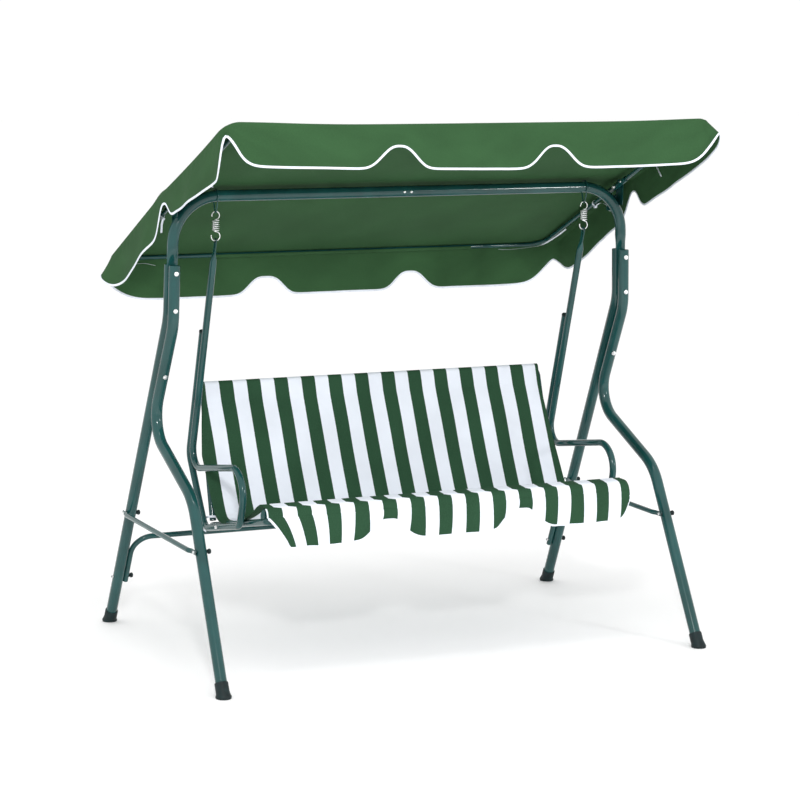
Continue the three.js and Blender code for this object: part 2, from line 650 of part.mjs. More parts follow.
function makeBow(end, name) {
  const start = end * 7;
  const reach = end * (end < 0 ? FRONT_REACH : REAR_REACH);
  const places = [[-BOW_X, start], [-BOW_X, reach], [BOW_X, reach], [BOW_X, start]];
  const corners = places.map(([x, along]) => onCanopy(x, along));
  add(name, tube(bentPath(corners, [60, 60]), BOW_R, 1), coat);
}

function makeArmSleeve(side, label) {
  const path = bentPath([onCanopy(side * BOW_X, -70), onCanopy(side * BOW_X, 70)], []);
  const boltLine = [BOW_X + SLEEVE_R, BOW_X - SLEEVE_R].map((x) => new THREE.Vector3(side * x, 0, BAR_Z));
  add(`arm_sleeve_${label}`, cut(tube(path, SLEEVE_R, 1.4, 10, 10), [drill(boltLine)]), coat);
}

// The canopy's top line in side view, as the height at y: a shallow ridge over the top bar.
const coverFront = onCanopy(0, -FRONT_REACH, BOW_R + 2 * GAP);
const coverRear = onCanopy(0, REAR_REACH, BOW_R + 2 * GAP);
const coverRidge = new THREE.Vector3(0, 0, BAR_Z + 27);
const coverProud = BOW_R + 2 * GAP + CLOTH; // from a bow's centre to the outer face of its valance

function coverHeight(y) {
  const end = y < 0 ? coverFront : coverRear;
  return coverRidge.z + (end.z - coverRidge.z) * y / end.y;
}

// Depth of a valance at a fraction of its length: level lobes parted by notches, with half notches at the ends.
function valanceDepth(fraction, lobes) {
  const lobe = fraction * lobes;
  const away = Math.abs(lobe - Math.round(lobe)) * 2;
  const rise = THREE.MathUtils.smoothstep(away, 0.08, 0.5);
  return VALANCE - VALANCE_NOTCH * (1 - rise);
}

function valance(length, lobes, topAt) {
  const steps = lobes * 12;
  const outline = [];
  for (let i = 0; i <= steps; i += 1) {
    const along = (i / steps - 0.5) * length;
    outline.push(new THREE.Vector2(along, topAt(along) - valanceDepth(i / steps, lobes)));
  }
  for (const fraction of [0.5, 0, -0.5]) {
    outline.push(new THREE.Vector2(fraction * length, topAt(fraction * length)));
  }
  const plate = new THREE.ExtrudeGeometry(new THREE.Shape(outline), { depth: CLOTH, bevelEnabled: false });
  return plate.rotateX(Math.PI / 2);
}

function makeCover() {
  const yFront = -FRONT_REACH * Math.cos(slope) - coverProud;
  const yRear = REAR_REACH * Math.cos(slope) + coverProud;
  const middle = (yFront + yRear) / 2;
  const topLine = [[yFront, coverHeight(yFront)], [0, coverRidge.z], [yRear, coverHeight(yRear)]];
  const band = new THREE.Shape([...topLine, ...topLine.map(([y, z]) => [y, z + CLOTH]).reverse()]
    .map(([y, z]) => new THREE.Vector2(y, z)));
  const top = new THREE.ExtrudeGeometry(band, { depth: 2 * CANOPY_X, bevelEnabled: false });
  top.rotateX(Math.PI / 2).rotateZ(Math.PI / 2).translate(-CANOPY_X, 0, 0);
  const overlap = CLOTH / 2;
  const front = valance(2 * CANOPY_X, 3, () => coverHeight(yFront) + overlap).translate(0, yFront + CLOTH, 0);
  const rear = valance(2 * CANOPY_X, 3, () => coverHeight(yRear) + overlap).translate(0, yRear, 0);
  const sides = [-1, 1].map((side) => {
    const plate = valance(yRear - yFront, 2, (along) => coverHeight(along + middle) + overlap);
    return plate.rotateZ(Math.PI / 2).translate(side * (CANOPY_X - CLOTH / 2) - CLOTH / 2, middle, 0);
  });
  add("canopy_cover", join([top, front, rear, ...sides]), greenCloth);
}

bothSides(makeLegs);
bothSides(makeArch);
makeArchSleeve();
bothSides((side, label) => makeFootCap(side, -1, `front_${label}`));
bothSides((side, label) => makeFootCap(side, 1, `rear_${label}`));
bothSides(makeSideBrace);
makeTieBar();
bothSides(makeBracket);
bothSides(makeWireLoop);
bothSides(makeSpring);
bothSides(makeHanger);
bothSides(makeSideRail);
makeSeat();
makeSling();
makeBow(-1, "canopy_front_bow");
makeBow(1, "canopy_rear_bow");
bothSides(makeArmSleeve);
makeCover();

export default swing;
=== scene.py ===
"""Canopy swing bench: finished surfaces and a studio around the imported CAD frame."""

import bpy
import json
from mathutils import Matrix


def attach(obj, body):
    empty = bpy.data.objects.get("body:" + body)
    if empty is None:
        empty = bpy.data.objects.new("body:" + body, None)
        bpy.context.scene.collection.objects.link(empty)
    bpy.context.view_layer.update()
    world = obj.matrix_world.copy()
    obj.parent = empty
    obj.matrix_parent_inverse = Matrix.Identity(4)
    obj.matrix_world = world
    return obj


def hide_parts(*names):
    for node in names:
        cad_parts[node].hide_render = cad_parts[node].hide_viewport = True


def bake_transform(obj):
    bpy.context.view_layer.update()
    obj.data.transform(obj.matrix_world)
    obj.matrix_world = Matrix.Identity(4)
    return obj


bl_info = {
    "name": "Canopy Swing Bench",
    "version": (1, 0, 0),
    "blender": (4, 5, 0),
    "location": "View3D > Sidebar > Swing Bench",
    "description": "Builds the tubes, cloth, fasteners and studio of a canopy swing bench",
    "category": "Object",
}

import json
import math

import bmesh
import bpy
import numpy as np
from mathutils import Matrix

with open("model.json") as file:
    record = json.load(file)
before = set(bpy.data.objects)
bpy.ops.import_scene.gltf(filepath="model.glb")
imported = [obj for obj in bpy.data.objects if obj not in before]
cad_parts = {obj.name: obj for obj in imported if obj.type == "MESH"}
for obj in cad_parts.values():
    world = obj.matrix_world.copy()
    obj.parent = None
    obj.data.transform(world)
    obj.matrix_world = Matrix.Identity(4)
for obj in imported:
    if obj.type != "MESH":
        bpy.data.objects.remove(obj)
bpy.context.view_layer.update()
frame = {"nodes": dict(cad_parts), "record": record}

# ---------- driving dimensions, in metres, as in the part's source ----------
SIDES = {"left": -1, "right": 1}
GAP = 0.0003

STAND_TUBE_R, BENCH_TUBE_R = 0.018, 0.011
FOOT_X, FOOT_Y = 0.825, 0.525
LEG_WALL = 0.0015
LEG_TOP_Z, LEG_TOP_X = 1.246, 0.795
BAR_Z = 1.457
ARCH_BEND_R = 0.150
ARCH_END_Z = 1.092
ARCH_FLAT = 0.005
BOLT_R = 0.0032
BOLT_TAIL = 0.008
LEG_BOLT_Z = (1.222, 1.106)
FRONT_LEG_TILT = 0.49
FRONT_LEG_AT = (0.058, 0.897)
FRONT_KNEE = (0.148, 0.714)
FRONT_SHIN = (-0.228, 0.548)
REAR_SHOULDER_Z = 1.080
LEG_END_Z = 0.009
FOOT_CAP_R, FOOT_CAP_H = 0.025, 0.042
BRACE_R, BRACE_Z = 0.008, 0.402
TIE_R, TIE_Z, TIE_END_Z, TIE_KNOB_Z = 0.009, 0.310, 0.150, 0.169

HANGER_X = 0.652
TUBE_WALL = 0.0012
WIRE_R = 0.002
LOOP_LOW_Z = 1.405
SPRING_WIRE_R, SPRING_R, SPRING_TURNS = 0.0016, 0.0105, 6
UPPER_HOOK_R, LOWER_HOOK_R = 0.0125, 0.0145
HOOK_PIN_Z = 1.317
EYE_R = 0.0055
ARM_REAR, ARM_FRONT = (0.219, 0.560), (-0.276, 0.645)
ARM_LOW, ARM_END = (-0.214, 0.452), (-0.140, 0.437)
UPRIGHT_OFFSET, UPRIGHT_TOP_Z, UPRIGHT_ELBOW_Z = 0.0245, 1.008, 0.600
HANGER_BOLT_Z = (0.652, 0.775)
RAIL_REAR = (0.088, 0.388)
FRAME_X = 0.621
FRAME_REAR, FRAME_FRONT = (0.100, 0.391), (-0.376, 0.494)
SEAT_FRONT, SEAT_REAR = (-0.336, 0.527), (0.044, 0.403)
SEAT_BOLT_Y = -0.040
BACK_TOP, BACK_MIDDLE, BACK_FOOT = (0.226, 0.825), (0.166, 0.600), (0.092, 0.392)
BACK_X = (0.621, 0.614, 0.606)  # half width of the back's frame at its foot, middle and top

CANOPY_TILT = math.radians(25)
CANOPY_X = 0.825
FRONT_REACH, REAR_REACH = 0.556, 0.575
BOW_R, BOW_X = 0.007, 0.774
SLEEVE_R = 0.0094
CLOTH = 0.002
RIDGE_LIFT = 0.027
BRACKET_OUTER_X = 0.788
BRACKET_SHEET = 0.003
BRACKET_BOLT_ANGLE = math.radians(56)


# ---------- settings ----------
class SwingSizes(bpy.types.PropertyGroup):
    """Sizes of the finished surfaces that may be changed without changing the CAD."""

    stand_tube_radius: bpy.props.FloatProperty(
        name="Stand tube radius", description="Outer radius of the leg and arch tubes",
        default=STAND_TUBE_R, min=0.010, max=0.0182, unit="LENGTH")
    bench_tube_radius: bpy.props.FloatProperty(
        name="Bench tube radius", description="Outer radius of the hanger, rail and seat tubes",
        default=BENCH_TUBE_R, min=0.006, max=0.0112, unit="LENGTH")
    stripe_pitch: bpy.props.FloatProperty(
        name="Stripe width", description="Width of one stripe of the sling",
        default=0.0480, min=0.01, max=0.2, unit="LENGTH")
    piping_width: bpy.props.FloatProperty(
        name="Binding width", description="Width of the white binding along the valances",
        default=0.0075, min=0.002, max=0.02, unit="LENGTH")
    cloth_sag: bpy.props.FloatProperty(
        name="Canopy sag", description="Dip of the canopy cloth between its bars",
        default=0.012, min=0.0, max=0.04, unit="LENGTH")


class SwingColours(bpy.types.PropertyGroup):
    """Base colours of the finishes."""

    coat: bpy.props.FloatVectorProperty(
        name="Powder coat", description="Dark teal green coat of the tubes",
        default=(0.008, 0.060, 0.058), size=3, min=0, max=1, subtype="COLOR")
    canopy: bpy.props.FloatVectorProperty(
        name="Canopy cloth", description="Green of the canopy cloth",
        default=(0.034, 0.094, 0.036), size=3, min=0, max=1, subtype="COLOR")
    stripe: bpy.props.FloatVectorProperty(
        name="Green stripe", description="Green of the sling's stripes",
        default=(0.021, 0.064, 0.032), size=3, min=0, max=1, subtype="COLOR")
    white: bpy.props.FloatVectorProperty(
        name="White cloth", description="White of the sling's stripes and the bindings",
        default=(0.80, 0.84, 0.92), size=3, min=0, max=1, subtype="COLOR")


def sizes():
    return bpy.context.scene.swing_sizes


def colours():
    return bpy.context.scene.swing_colours


# ---------- node materials ----------
class Shader:
    """A material with one Principled shader, and short ways to add nodes to it."""

    def __init__(self, name, base, **sockets):
        self.material = bpy.data.materials.new(name)
        self.material.use_nodes = True
        self.tree = self.material.node_tree
        self.principled = self.tree.nodes["Principled BSDF"]
        self.material.diffuse_color = (*base, 1)
        self.principled.inputs["Base Color"].default_value = (*base, 1)
        for socket, value in sockets.items():
            self.principled.inputs[socket.replace("_", " ")].default_value = value

    def node(self, kind, inputs=None, **settings):
        node = self.tree.nodes.new(kind)
        for key, value in settings.items():
            setattr(node, key, value)
        for key, value in (inputs or {}).items():
            self.feed(value, node.inputs[key])
        return node

    def feed(self, value, socket):
        """Links an output to a socket, or sets the socket's own value."""
        if isinstance(value, bpy.types.NodeSocket):
            self.tree.links.new(value, socket)
        else:
            socket.default_value = value

    def math(self, operation, a, b=0.0):
        return self.node("ShaderNodeMath", {0: a, 1: b}, operation=operation).outputs[0]

    def place(self, source="Object"):
        if source == "UV":
            return self.node("ShaderNodeUVMap", uv_map="cloth").outputs["UV"]
        return self.node("ShaderNodeTexCoord").outputs[source]

    def noise(self, vector, scale, detail=3.0, roughness=0.5):
        inputs = {"Vector": vector, "Scale": scale, "Detail": detail, "Roughness": roughness}
        return self.node("ShaderNodeTexNoise", inputs).outputs["Fac"]

    def mix(self, factor, first, second):
        inputs = {"Factor": factor, 6: first, 7: second}
        return self.node("ShaderNodeMix", inputs, data_type="RGBA").outputs[2]

    def levels(self, value, low, high, to_low, to_high):
        inputs = {"Value": value, "From Min": low, "From Max": high, "To Min": to_low, "To Max": to_high}
        return self.node("ShaderNodeMapRange", inputs).outputs["Result"]

    def bump(self, height, strength, distance):
        inputs = {"Height": height, "Strength": strength, "Distance": distance}
        return self.node("ShaderNodeBump", inputs).outputs["Normal"]

    def set(self, **links):
        for socket, value in links.items():
            self.feed(value, self.principled.inputs[socket.replace("_", " ")])
        return self.material


def shade(colour, factor):
    return tuple(min(1.0, channel * factor) for channel in colour) + (1.0,)


def powder_coat():
    """Glossy powder coat: fine orange peel, and gloss that changes slightly along the tubes."""
    base = tuple(colours().coat)
    coat = Shader("powder_coat", base, Roughness=0.18, Metallic=0.0, Specular_IOR_Level=0.5)
    place = coat.place()
    broad = coat.noise(place, 9.0)
    peel = coat.noise(place, 420.0, 2.0)
    colour = coat.mix(coat.levels(broad, 0.3, 0.7, 0, 1), shade(base, 0.82), shade(base, 1.22))
    gloss = coat.levels(coat.noise(place, 12.0), 0.25, 0.75, 0.10, 0.15)
    return coat.set(Base_Color=colour, Roughness=gloss, Normal=coat.bump(peel, 0.03, 0.0003))


def zinc_plate():
    """Bright zinc: slightly clouded metal with a fine grain."""
    base = (0.86, 0.87, 0.88)
    zinc = Shader("zinc_plate", base, Roughness=0.28, Metallic=1.0)
    place = zinc.place()
    cloud = zinc.noise(place, 160.0)
    colour = zinc.mix(zinc.levels(cloud, 0.3, 0.7, 0, 1), shade(base, 0.8), shade(base, 1.15))
    gloss = zinc.levels(zinc.noise(place, 300.0), 0.3, 0.7, 0.2, 0.4)
    return zinc.set(Base_Color=colour, Roughness=gloss, Normal=zinc.bump(cloud, 0.08, 0.0002))


def black_plastic():
    """Moulded plastic: near black, with a spark-eroded grain and rubbed patches."""
    base = (0.006, 0.014, 0.015)
    plastic = Shader("black_plastic", base, Roughness=0.45, Specular_IOR_Level=0.25)
    place = plastic.place()
    grain = plastic.noise(place, 900.0, 1.0)
    rubbed = plastic.noise(place, 55.0)
    colour = plastic.mix(plastic.levels(rubbed, 0.35, 0.75, 0, 1), shade(base, 0.8), shade(base, 2.0))
    gloss = plastic.levels(rubbed, 0.3, 0.7, 0.42, 0.62)
    return plastic.set(Base_Color=colour, Roughness=gloss, Normal=plastic.bump(grain, 0.25, 0.0003))


def weave(cloth, place, pitch=0.0016):
    """Height of a plain weave: the product of two sine ridges, one along each thread direction."""
    parts = cloth.node("ShaderNodeSeparateXYZ", {0: place}).outputs
    threads = []
    for axis in (0, 1):
        phase = cloth.math("MULTIPLY", parts[axis], 2 * math.pi / pitch)
        threads.append(cloth.math("SINE", phase))
    return cloth.math("MULTIPLY", *threads)


def canopy_cloth():
    """Coated canopy cloth: plain weave, broad changes of tone and soft creases."""
    base = tuple(colours().canopy)
    cloth = Shader("canopy_cloth", base, Roughness=0.8, Specular_IOR_Level=0.12)
    place = cloth.place("UV")
    tone = cloth.noise(place, 5.0, 4.0)
    slub = cloth.noise(place, 260.0, 2.0)
    broad = cloth.mix(cloth.levels(tone, 0.3, 0.7, 0, 1), shade(base, 0.86), shade(base, 1.14))
    colour = cloth.mix(cloth.levels(slub, 0.3, 0.7, 0, 0.5), broad, shade(base, 0.72))
    creases = cloth.noise(place, 14.0, 5.0, 0.6)
    height = cloth.math("ADD", cloth.math("MULTIPLY", weave(cloth, place), 0.04), creases)
    gloss = cloth.levels(slub, 0.2, 0.8, 0.72, 0.88)
    return cloth.set(Base_Color=colour, Roughness=gloss, Normal=cloth.bump(height, 0.22, 0.004))


def striped_cloth():
    """Sling cloth: stripes of equal width counted from the middle, white at the middle, with a thin pale green line
    where two stripes meet.
    """
    green, white = tuple(colours().stripe), tuple(colours().white)
    cloth = Shader("striped_cloth", white, Roughness=0.8, Specular_IOR_Level=0.12)
    place = cloth.place("UV")
    parts = cloth.node("ShaderNodeSeparateXYZ", {0: place}).outputs
    wander = cloth.math("MULTIPLY", cloth.math("SUBTRACT", cloth.noise(place, 90.0, 1.0), 0.5), 0.0008)
    count = cloth.math("DIVIDE", cloth.math("ADD", parts[0], wander), sizes().stripe_pitch)
    parity = cloth.math("ABSOLUTE", cloth.math("SUBTRACT", count, cloth.math("ROUND", count)))
    odd = cloth.math("PINGPONG", cloth.math("ROUND", count), 1.0)
    slub = cloth.noise(place, 300.0, 2.0)
    tone = cloth.noise(place, 6.0, 3.0)
    whites = cloth.mix(cloth.levels(tone, 0.3, 0.7, 0, 1), shade(white, 0.93), shade(white, 1.04))
    greens = cloth.mix(cloth.levels(slub, 0.3, 0.7, 0, 1), shade(green, 1.15), shade(green, 0.75))
    greens = cloth.mix(cloth.levels(tone, 0.3, 0.7, 0, 0.6), greens, shade(green, 1.3))
    edge = cloth.levels(parity, 0.485, 0.5, 0, 0.25)
    striped = cloth.mix(odd, whites, greens)
    colour = cloth.mix(edge, striped, shade(green, 2.0))
    creases = cloth.noise(place, 11.0, 4.0, 0.55)
    height = cloth.math("ADD", cloth.math("MULTIPLY", weave(cloth, place), 0.05), creases)
    gloss = cloth.levels(slub, 0.2, 0.8, 0.72, 0.88)
    return cloth.set(Base_Color=colour, Roughness=gloss, Normal=cloth.bump(height, 0.18, 0.003))


def white_tape():
    """Woven white tape: cross ribs and a slightly soiled tone."""
    base = tuple(colours().white)
    tape = Shader("white_tape", base, Roughness=0.8, Specular_IOR_Level=0.2)
    place = tape.place()
    ribs = tape.noise(place, 700.0, 1.0)
    tone = tape.noise(place, 25.0)
    colour = tape.mix(tape.levels(tone, 0.3, 0.7, 0, 1), shade(base, 0.9), shade(base, 1.06))
    return tape.set(Base_Color=colour, Normal=tape.bump(ribs, 0.3, 0.0004))


def studio_floor():
    """Pale studio floor with a barely visible mottle."""
    base = (0.97, 0.97, 0.97)
    floor = Shader("studio_floor", base, Roughness=0.7)
    tone = floor.noise(floor.place(), 1.5)
    colour = floor.mix(floor.levels(tone, 0.3, 0.7, 0, 1), shade(base, 0.995), shade(base, 1.01))
    return floor.set(Base_Color=colour)


FINISHES = {
    "powder_coated_steel": powder_coat,
    "zinc_plated_steel": zinc_plate,
    "black_plastic": black_plastic,
    "green_canvas": canopy_cloth,
    "striped_canvas": striped_cloth,
    "white_tape": white_tape,
}
made_finishes = {}


def finish(slot):
    if slot not in made_finishes:
        made_finishes[slot] = FINISHES[slot]()
    return made_finishes[slot]


# ---------- surfaces ----------
def unit(vectors):
    return vectors / np.linalg.norm(vectors, axis=-1, keepdims=True)


def rounded_path(corners, radii, step=math.radians(6)):
    """Points and unit tangents along straight runs, each corner an arc of its radius tangent to both runs."""
    corners = np.asarray(corners, float)
    runs = unit(np.diff(corners, axis=0))
    points, tangents = [corners[:1]], [runs[:1]]
    for corner, before, after, radius in zip(corners[1:-1], runs[:-1], runs[1:], radii):
        turn = math.acos(float(np.clip(before @ after, -1, 1)))
        centre = corner + unit(after - before) * radius / math.cos(turn / 2)
        start = corner - before * radius * math.tan(turn / 2)
        outward = unit(start - centre)
        angles = np.linspace(0, turn, max(2, math.ceil(turn / step) + 1))[:, None]
        points.append(centre + radius * (outward * np.cos(angles) + before * np.sin(angles)))
        tangents.append(before * np.cos(angles) - outward * np.sin(angles))
    points.append(corners[-1:])
    tangents.append(runs[-1:])
    return np.vstack(points), np.vstack(tangents)


def ease(share):
    """From 0 to 1 with a level start and end: t * t * (3 - 2 * t), held outside."""
    share = np.clip(share, 0, 1)
    return share * share * (3 - 2 * share)


def around(sides):
    """Angles of a closed ring's points, laid out for a stack of rings."""
    return np.linspace(0, 2 * math.pi, sides, endpoint=False)[None, :, None]


def poled(rings, line):
    """Rings along a line with each end closed to the end's middle point."""
    first, last = (np.broadcast_to(line[i, None, None], rings[:1].shape) for i in (0, -1))
    return np.concatenate([first, rings, last])


def cross_axes(tangents, across):
    """Two unit vectors square to each tangent, the first as near to `across` as it can be."""
    first = unit(across - tangents * np.sum(tangents * across, axis=1, keepdims=True))
    return first, np.cross(tangents, first)


def swept(path, across, radius, sides=24):
    """Rings round a path: centre + radius * (cos a * first axis + sin a * second axis), radius by station."""
    points, tangents = path
    first, second = cross_axes(tangents, np.asarray(across, float))
    angle = around(sides)
    radius = np.broadcast_to(np.asarray(radius, float), len(points))[:, None, None]
    return points[:, None] + radius * (first[:, None] * np.cos(angle) + second[:, None] * np.sin(angle))


def quads(rows, columns, wrap_rows, wrap_columns, start=0):
    """Corner indices of every cell of a grid, wrapped round where it closes on itself."""
    i = np.arange(rows if wrap_rows else rows - 1)[:, None]
    j = np.arange(columns if wrap_columns else columns - 1)[None, :]
    near, far = i * columns, (i + 1) % rows * columns
    ahead = (j + 1) % columns
    return start + np.stack([near + j, near + ahead, far + ahead, far + j], axis=-1).reshape(-1, 4)


def make_object(name, grids, slot, body, crease=35, recalc=True, uv=None):
    """One mesh object of one or more grids, each (points, wrap rows, wrap columns), in the row frame."""
    points, faces, start = [], [], 0
    for grid, wrap_rows, wrap_columns in grids:
        faces.append(quads(grid.shape[0], grid.shape[1], wrap_rows, wrap_columns, start))
        points.append(grid.reshape(-1, 3))
        start += grid.shape[0] * grid.shape[1]
    points, faces = np.vstack(points), np.vstack(faces)
    mesh = bpy.data.meshes.new(name)
    mesh.from_pydata(points, [], faces.tolist())
    if uv is not None:
        layer = mesh.uv_layers.new(name="cloth")
        layer.data.foreach_set("uv", uv.reshape(-1, 2)[faces.reshape(-1)].astype(np.float32).ravel())
    if recalc:
        tidy = bmesh.new()
        tidy.from_mesh(mesh)
        bmesh.ops.remove_doubles(tidy, verts=tidy.verts, dist=1e-6)
        bmesh.ops.recalc_face_normals(tidy, faces=tidy.faces)
        tidy.to_mesh(mesh)
        tidy.free()
    mesh.polygons.foreach_set("use_smooth", np.ones(len(mesh.polygons), bool))
    mesh.set_sharp_from_angle(angle=math.radians(crease))
    mesh.materials.append(finish(slot))
    piece = bpy.data.objects.new(name, mesh)
    bpy.context.scene.collection.objects.link(piece)
    if body:
        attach(piece, body)
    return piece


def tube_grid(path, across, radius, wall, sides=24):
    """A hollow tube as one closed band: the outer rings forward, then the inner rings back."""
    outer = swept(path, across, radius, sides)
    inner = swept(path, across, radius - wall, sides)
    return np.concatenate([outer, inner[::-1]]), True, True


def bar_grid(path, across, radius, sides=16):
    """A solid bar: its rings, with the middle of each end as a pole."""
    return poled(swept(path, across, radius, sides), path[0]), False, True


def turned_grid(profile, start, towards, sides=24):
    """A turned form: the [radius, height] profile run round the axis from `start` towards `towards`."""
    start, towards = np.asarray(start, float), np.asarray(towards, float)
    axis = unit(towards - start)
    helper = np.array([0, 0, 1.0]) if abs(axis[2]) < 0.9 else np.array([1.0, 0, 0])
    first = unit(np.cross(helper, axis))
    second = np.cross(axis, first)
    profile = np.asarray(profile, float)
    angle = around(sides)
    radius, height = profile[:, 0][:, None, None], profile[:, 1][:, None, None]
    return start + axis * height + radius * (first * np.cos(angle) + second * np.sin(angle)), False, True


# ---------- stand ----------
def lean_x(z):
    """Half distance between the two leaning end frames at height z."""
    return FOOT_X + (LEG_TOP_X - FOOT_X) * z / LEG_TOP_Z


def on_frame(side, y, z):
    return np.array([side * lean_x(z), y, z])


def leg_y(end):
    return end * (ARCH_FLAT / 2 + GAP + sizes().stand_tube_radius)


def front_leg_y(z):
    return -FOOT_Y + (FRONT_SHIN[0] + FOOT_Y) * z / FRONT_SHIN[1]


def rear_leg_y(z):
    return FOOT_Y - (FOOT_Y - leg_y(1)) / REAR_SHOULDER_Z * z


def leg_corners(side, end):
    if end < 0:
        shoulder = FRONT_LEG_AT[1] + (FRONT_LEG_AT[0] - leg_y(-1)) / FRONT_LEG_TILT
        places = [(leg_y(-1), LEG_TOP_Z), (leg_y(-1), shoulder), FRONT_KNEE, FRONT_SHIN,
                  (front_leg_y(LEG_END_Z), LEG_END_Z)]
    else:
        places = [(leg_y(1), LEG_TOP_Z), (leg_y(1), REAR_SHOULDER_Z), (rear_leg_y(LEG_END_Z), LEG_END_Z)]
    return [on_frame(side, *place) for place in places]


def make_legs(side, label):
    """Front and rear leg, each a bent tube open at its top."""
    radius = sizes().stand_tube_radius
    for end, name, bends in ((-1, "front", (0.150, 0.105, 0.170)), (1, "rear", (0.150,))):
        path = rounded_path(leg_corners(side, end), bends)
        leg = make_object(f"{name}_leg_tube_{label}", [tube_grid(path, (1, 0, 0), radius, LEG_WALL, 32)],
                          "powder_coated_steel", "stand")
        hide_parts(f"{name}_leg_{label}")


ARCH_TAPER = 0.045  # length over which the arch's tube turns flat


def make_arch(side, label):
    """Half the arch: the tube, pressed flat along Y below the bend by a ratio that eases in over its taper."""
    radius = sizes().stand_tube_radius
    points, tangents = rounded_path([np.array([side * GAP / 2, 0, BAR_Z]), on_frame(side, 0, BAR_Z),
                                     on_frame(side, 0, ARCH_END_Z)], (ARCH_BEND_R,))
    flat_below = LEG_TOP_Z + 0.006
    extra = [on_frame(side, 0, z) for z in np.linspace(flat_below + ARCH_TAPER, flat_below, 8)]
    points = np.vstack([points[:-1], extra, points[-1:]])
    tangents = np.vstack([tangents[:-1], np.repeat(tangents[-1:], len(extra) + 1, axis=0)])
    grid, *wraps = tube_grid((points, tangents), (0, 1, 0), radius, LEG_WALL, 32)
    ratio = ARCH_FLAT / 2 / radius
    grid[..., 1] *= ratio + (1 - ratio) * ease((grid[..., 2] - flat_below) / ARCH_TAPER)
    arch = make_object(f"arch_tube_{label}", [(grid, *wraps)], "powder_coated_steel", "stand")
    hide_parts(f"arch_{label}")


def make_side_brace(side, label):
    """Brace tube, pressed flat along X at both ends where the knob screws hold it."""
    x = side * lean_x(BRACE_Z) - sizes().stand_tube_radius - 2 * GAP
    low, high = front_leg_y(BRACE_Z) - 0.014, rear_leg_y(BRACE_Z) + 0.014
    flat, taper = 0.034, 0.022
    y = np.concatenate([[low], np.linspace(low + flat, low + flat + taper, 8),
                        np.linspace(high - flat - taper, high - flat, 8), [high]])
    points = np.column_stack([np.full_like(y, x - BRACE_R), y, np.full_like(y, BRACE_Z)])
    tangents = np.tile([0.0, 1.0, 0.0], (len(y), 1))
    grid, *wraps = tube_grid((points, tangents), (1, 0, 0), BRACE_R, TUBE_WALL)
    from_end = np.minimum(grid[..., 1] - low, high - grid[..., 1])
    grid[..., 0] = x + (grid[..., 0] - x) * (0.3 + 0.7 * ease((from_end - flat) / taper))
    brace = make_object(f"side_brace_tube_{label}", [(grid, *wraps)], "powder_coated_steel", "stand")
    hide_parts(f"side_brace_{label}")


def make_tie_bar():
    """The rear tie bar: a long tube turned down at both ends inside the rear legs."""
    inset = sizes().stand_tube_radius + TIE_R + GAP
    corners = [np.array([side * (lean_x(z) - inset), rear_leg_y(z), z])
               for side, z in ((-1, TIE_END_Z), (-1, TIE_Z), (1, TIE_Z), (1, TIE_END_Z))]
    path = rounded_path(corners, (0.065, 0.065))
    bar = make_object("rear_tie_tube", [tube_grid(path, (0, 1, 0), TIE_R, TUBE_WALL)],
                      "powder_coated_steel", "stand")
    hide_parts("rear_tie_bar")


def make_foot_cap(side, end, label):
    """Loft from a level foot to a sleeve round the leg: rings whose centre, radius and tilt ease between both."""
    leg_at = front_leg_y if end < 0 else rear_leg_y
    axis = unit(on_frame(side, leg_at(0.1), 0.1) - on_frame(side, leg_at(0), 0))
    sleeve = sizes().stand_tube_radius + 0.003
    height = np.array([0, 0, 0.004, 0.006, 0.010, 0.014, 0.018, FOOT_CAP_H - 0.002, FOOT_CAP_H, FOOT_CAP_H,
                       0.020, 0.020])
    radius = np.array([0, FOOT_CAP_R - 0.0015, FOOT_CAP_R, FOOT_CAP_R - 0.0005, sleeve + 0.0015, sleeve + 0.0004,
                       sleeve, sleeve, sleeve - 0.001, sleeve - 0.0021, sleeve - 0.0021, 0])
    tilt = np.clip(height / 0.018, 0, 1)[:, None]
    normal = unit((1 - tilt) * np.array([0, 0, 1.0]) + tilt * axis)
    foot = np.array([side * FOOT_X, end * FOOT_Y, 0.0])
    centre = foot + height[:, None] * ((1 - tilt) * np.array([0, 0, 1.0]) + tilt * axis / axis[2])
    first, second = cross_axes(normal, np.array([1.0, 0, 0]))
    angle = around(40)
    ring = first[:, None] * np.cos(angle) + second[:, None] * np.sin(angle)
    grid = centre[:, None] + radius[:, None, None] * ring
    grid[..., 2] = np.maximum(grid[..., 2], 0)
    cap = make_object(f"foot_{label}", [(grid, False, True)], "black_plastic", "stand")
    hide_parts(f"foot_cap_{label}")


# ---------- fasteners ----------
HEX_HEAD = [[0, 0], [0.82, 0], [1, 0.14], [1, 1], [0, 1]]
WASHER = 0.0012
BOLT_HEAD, TILT_BOLT_HEAD, BENCH_BOLT_HEAD = 0.0062, 0.0075, 0.0052


def hexagon(start, towards, radius, height):
    """A six-sided head or nut: a turned form with six sides and a bevelled face."""
    profile = np.array(HEX_HEAD) * [radius, height]
    return turned_grid(profile, start, towards, 6)


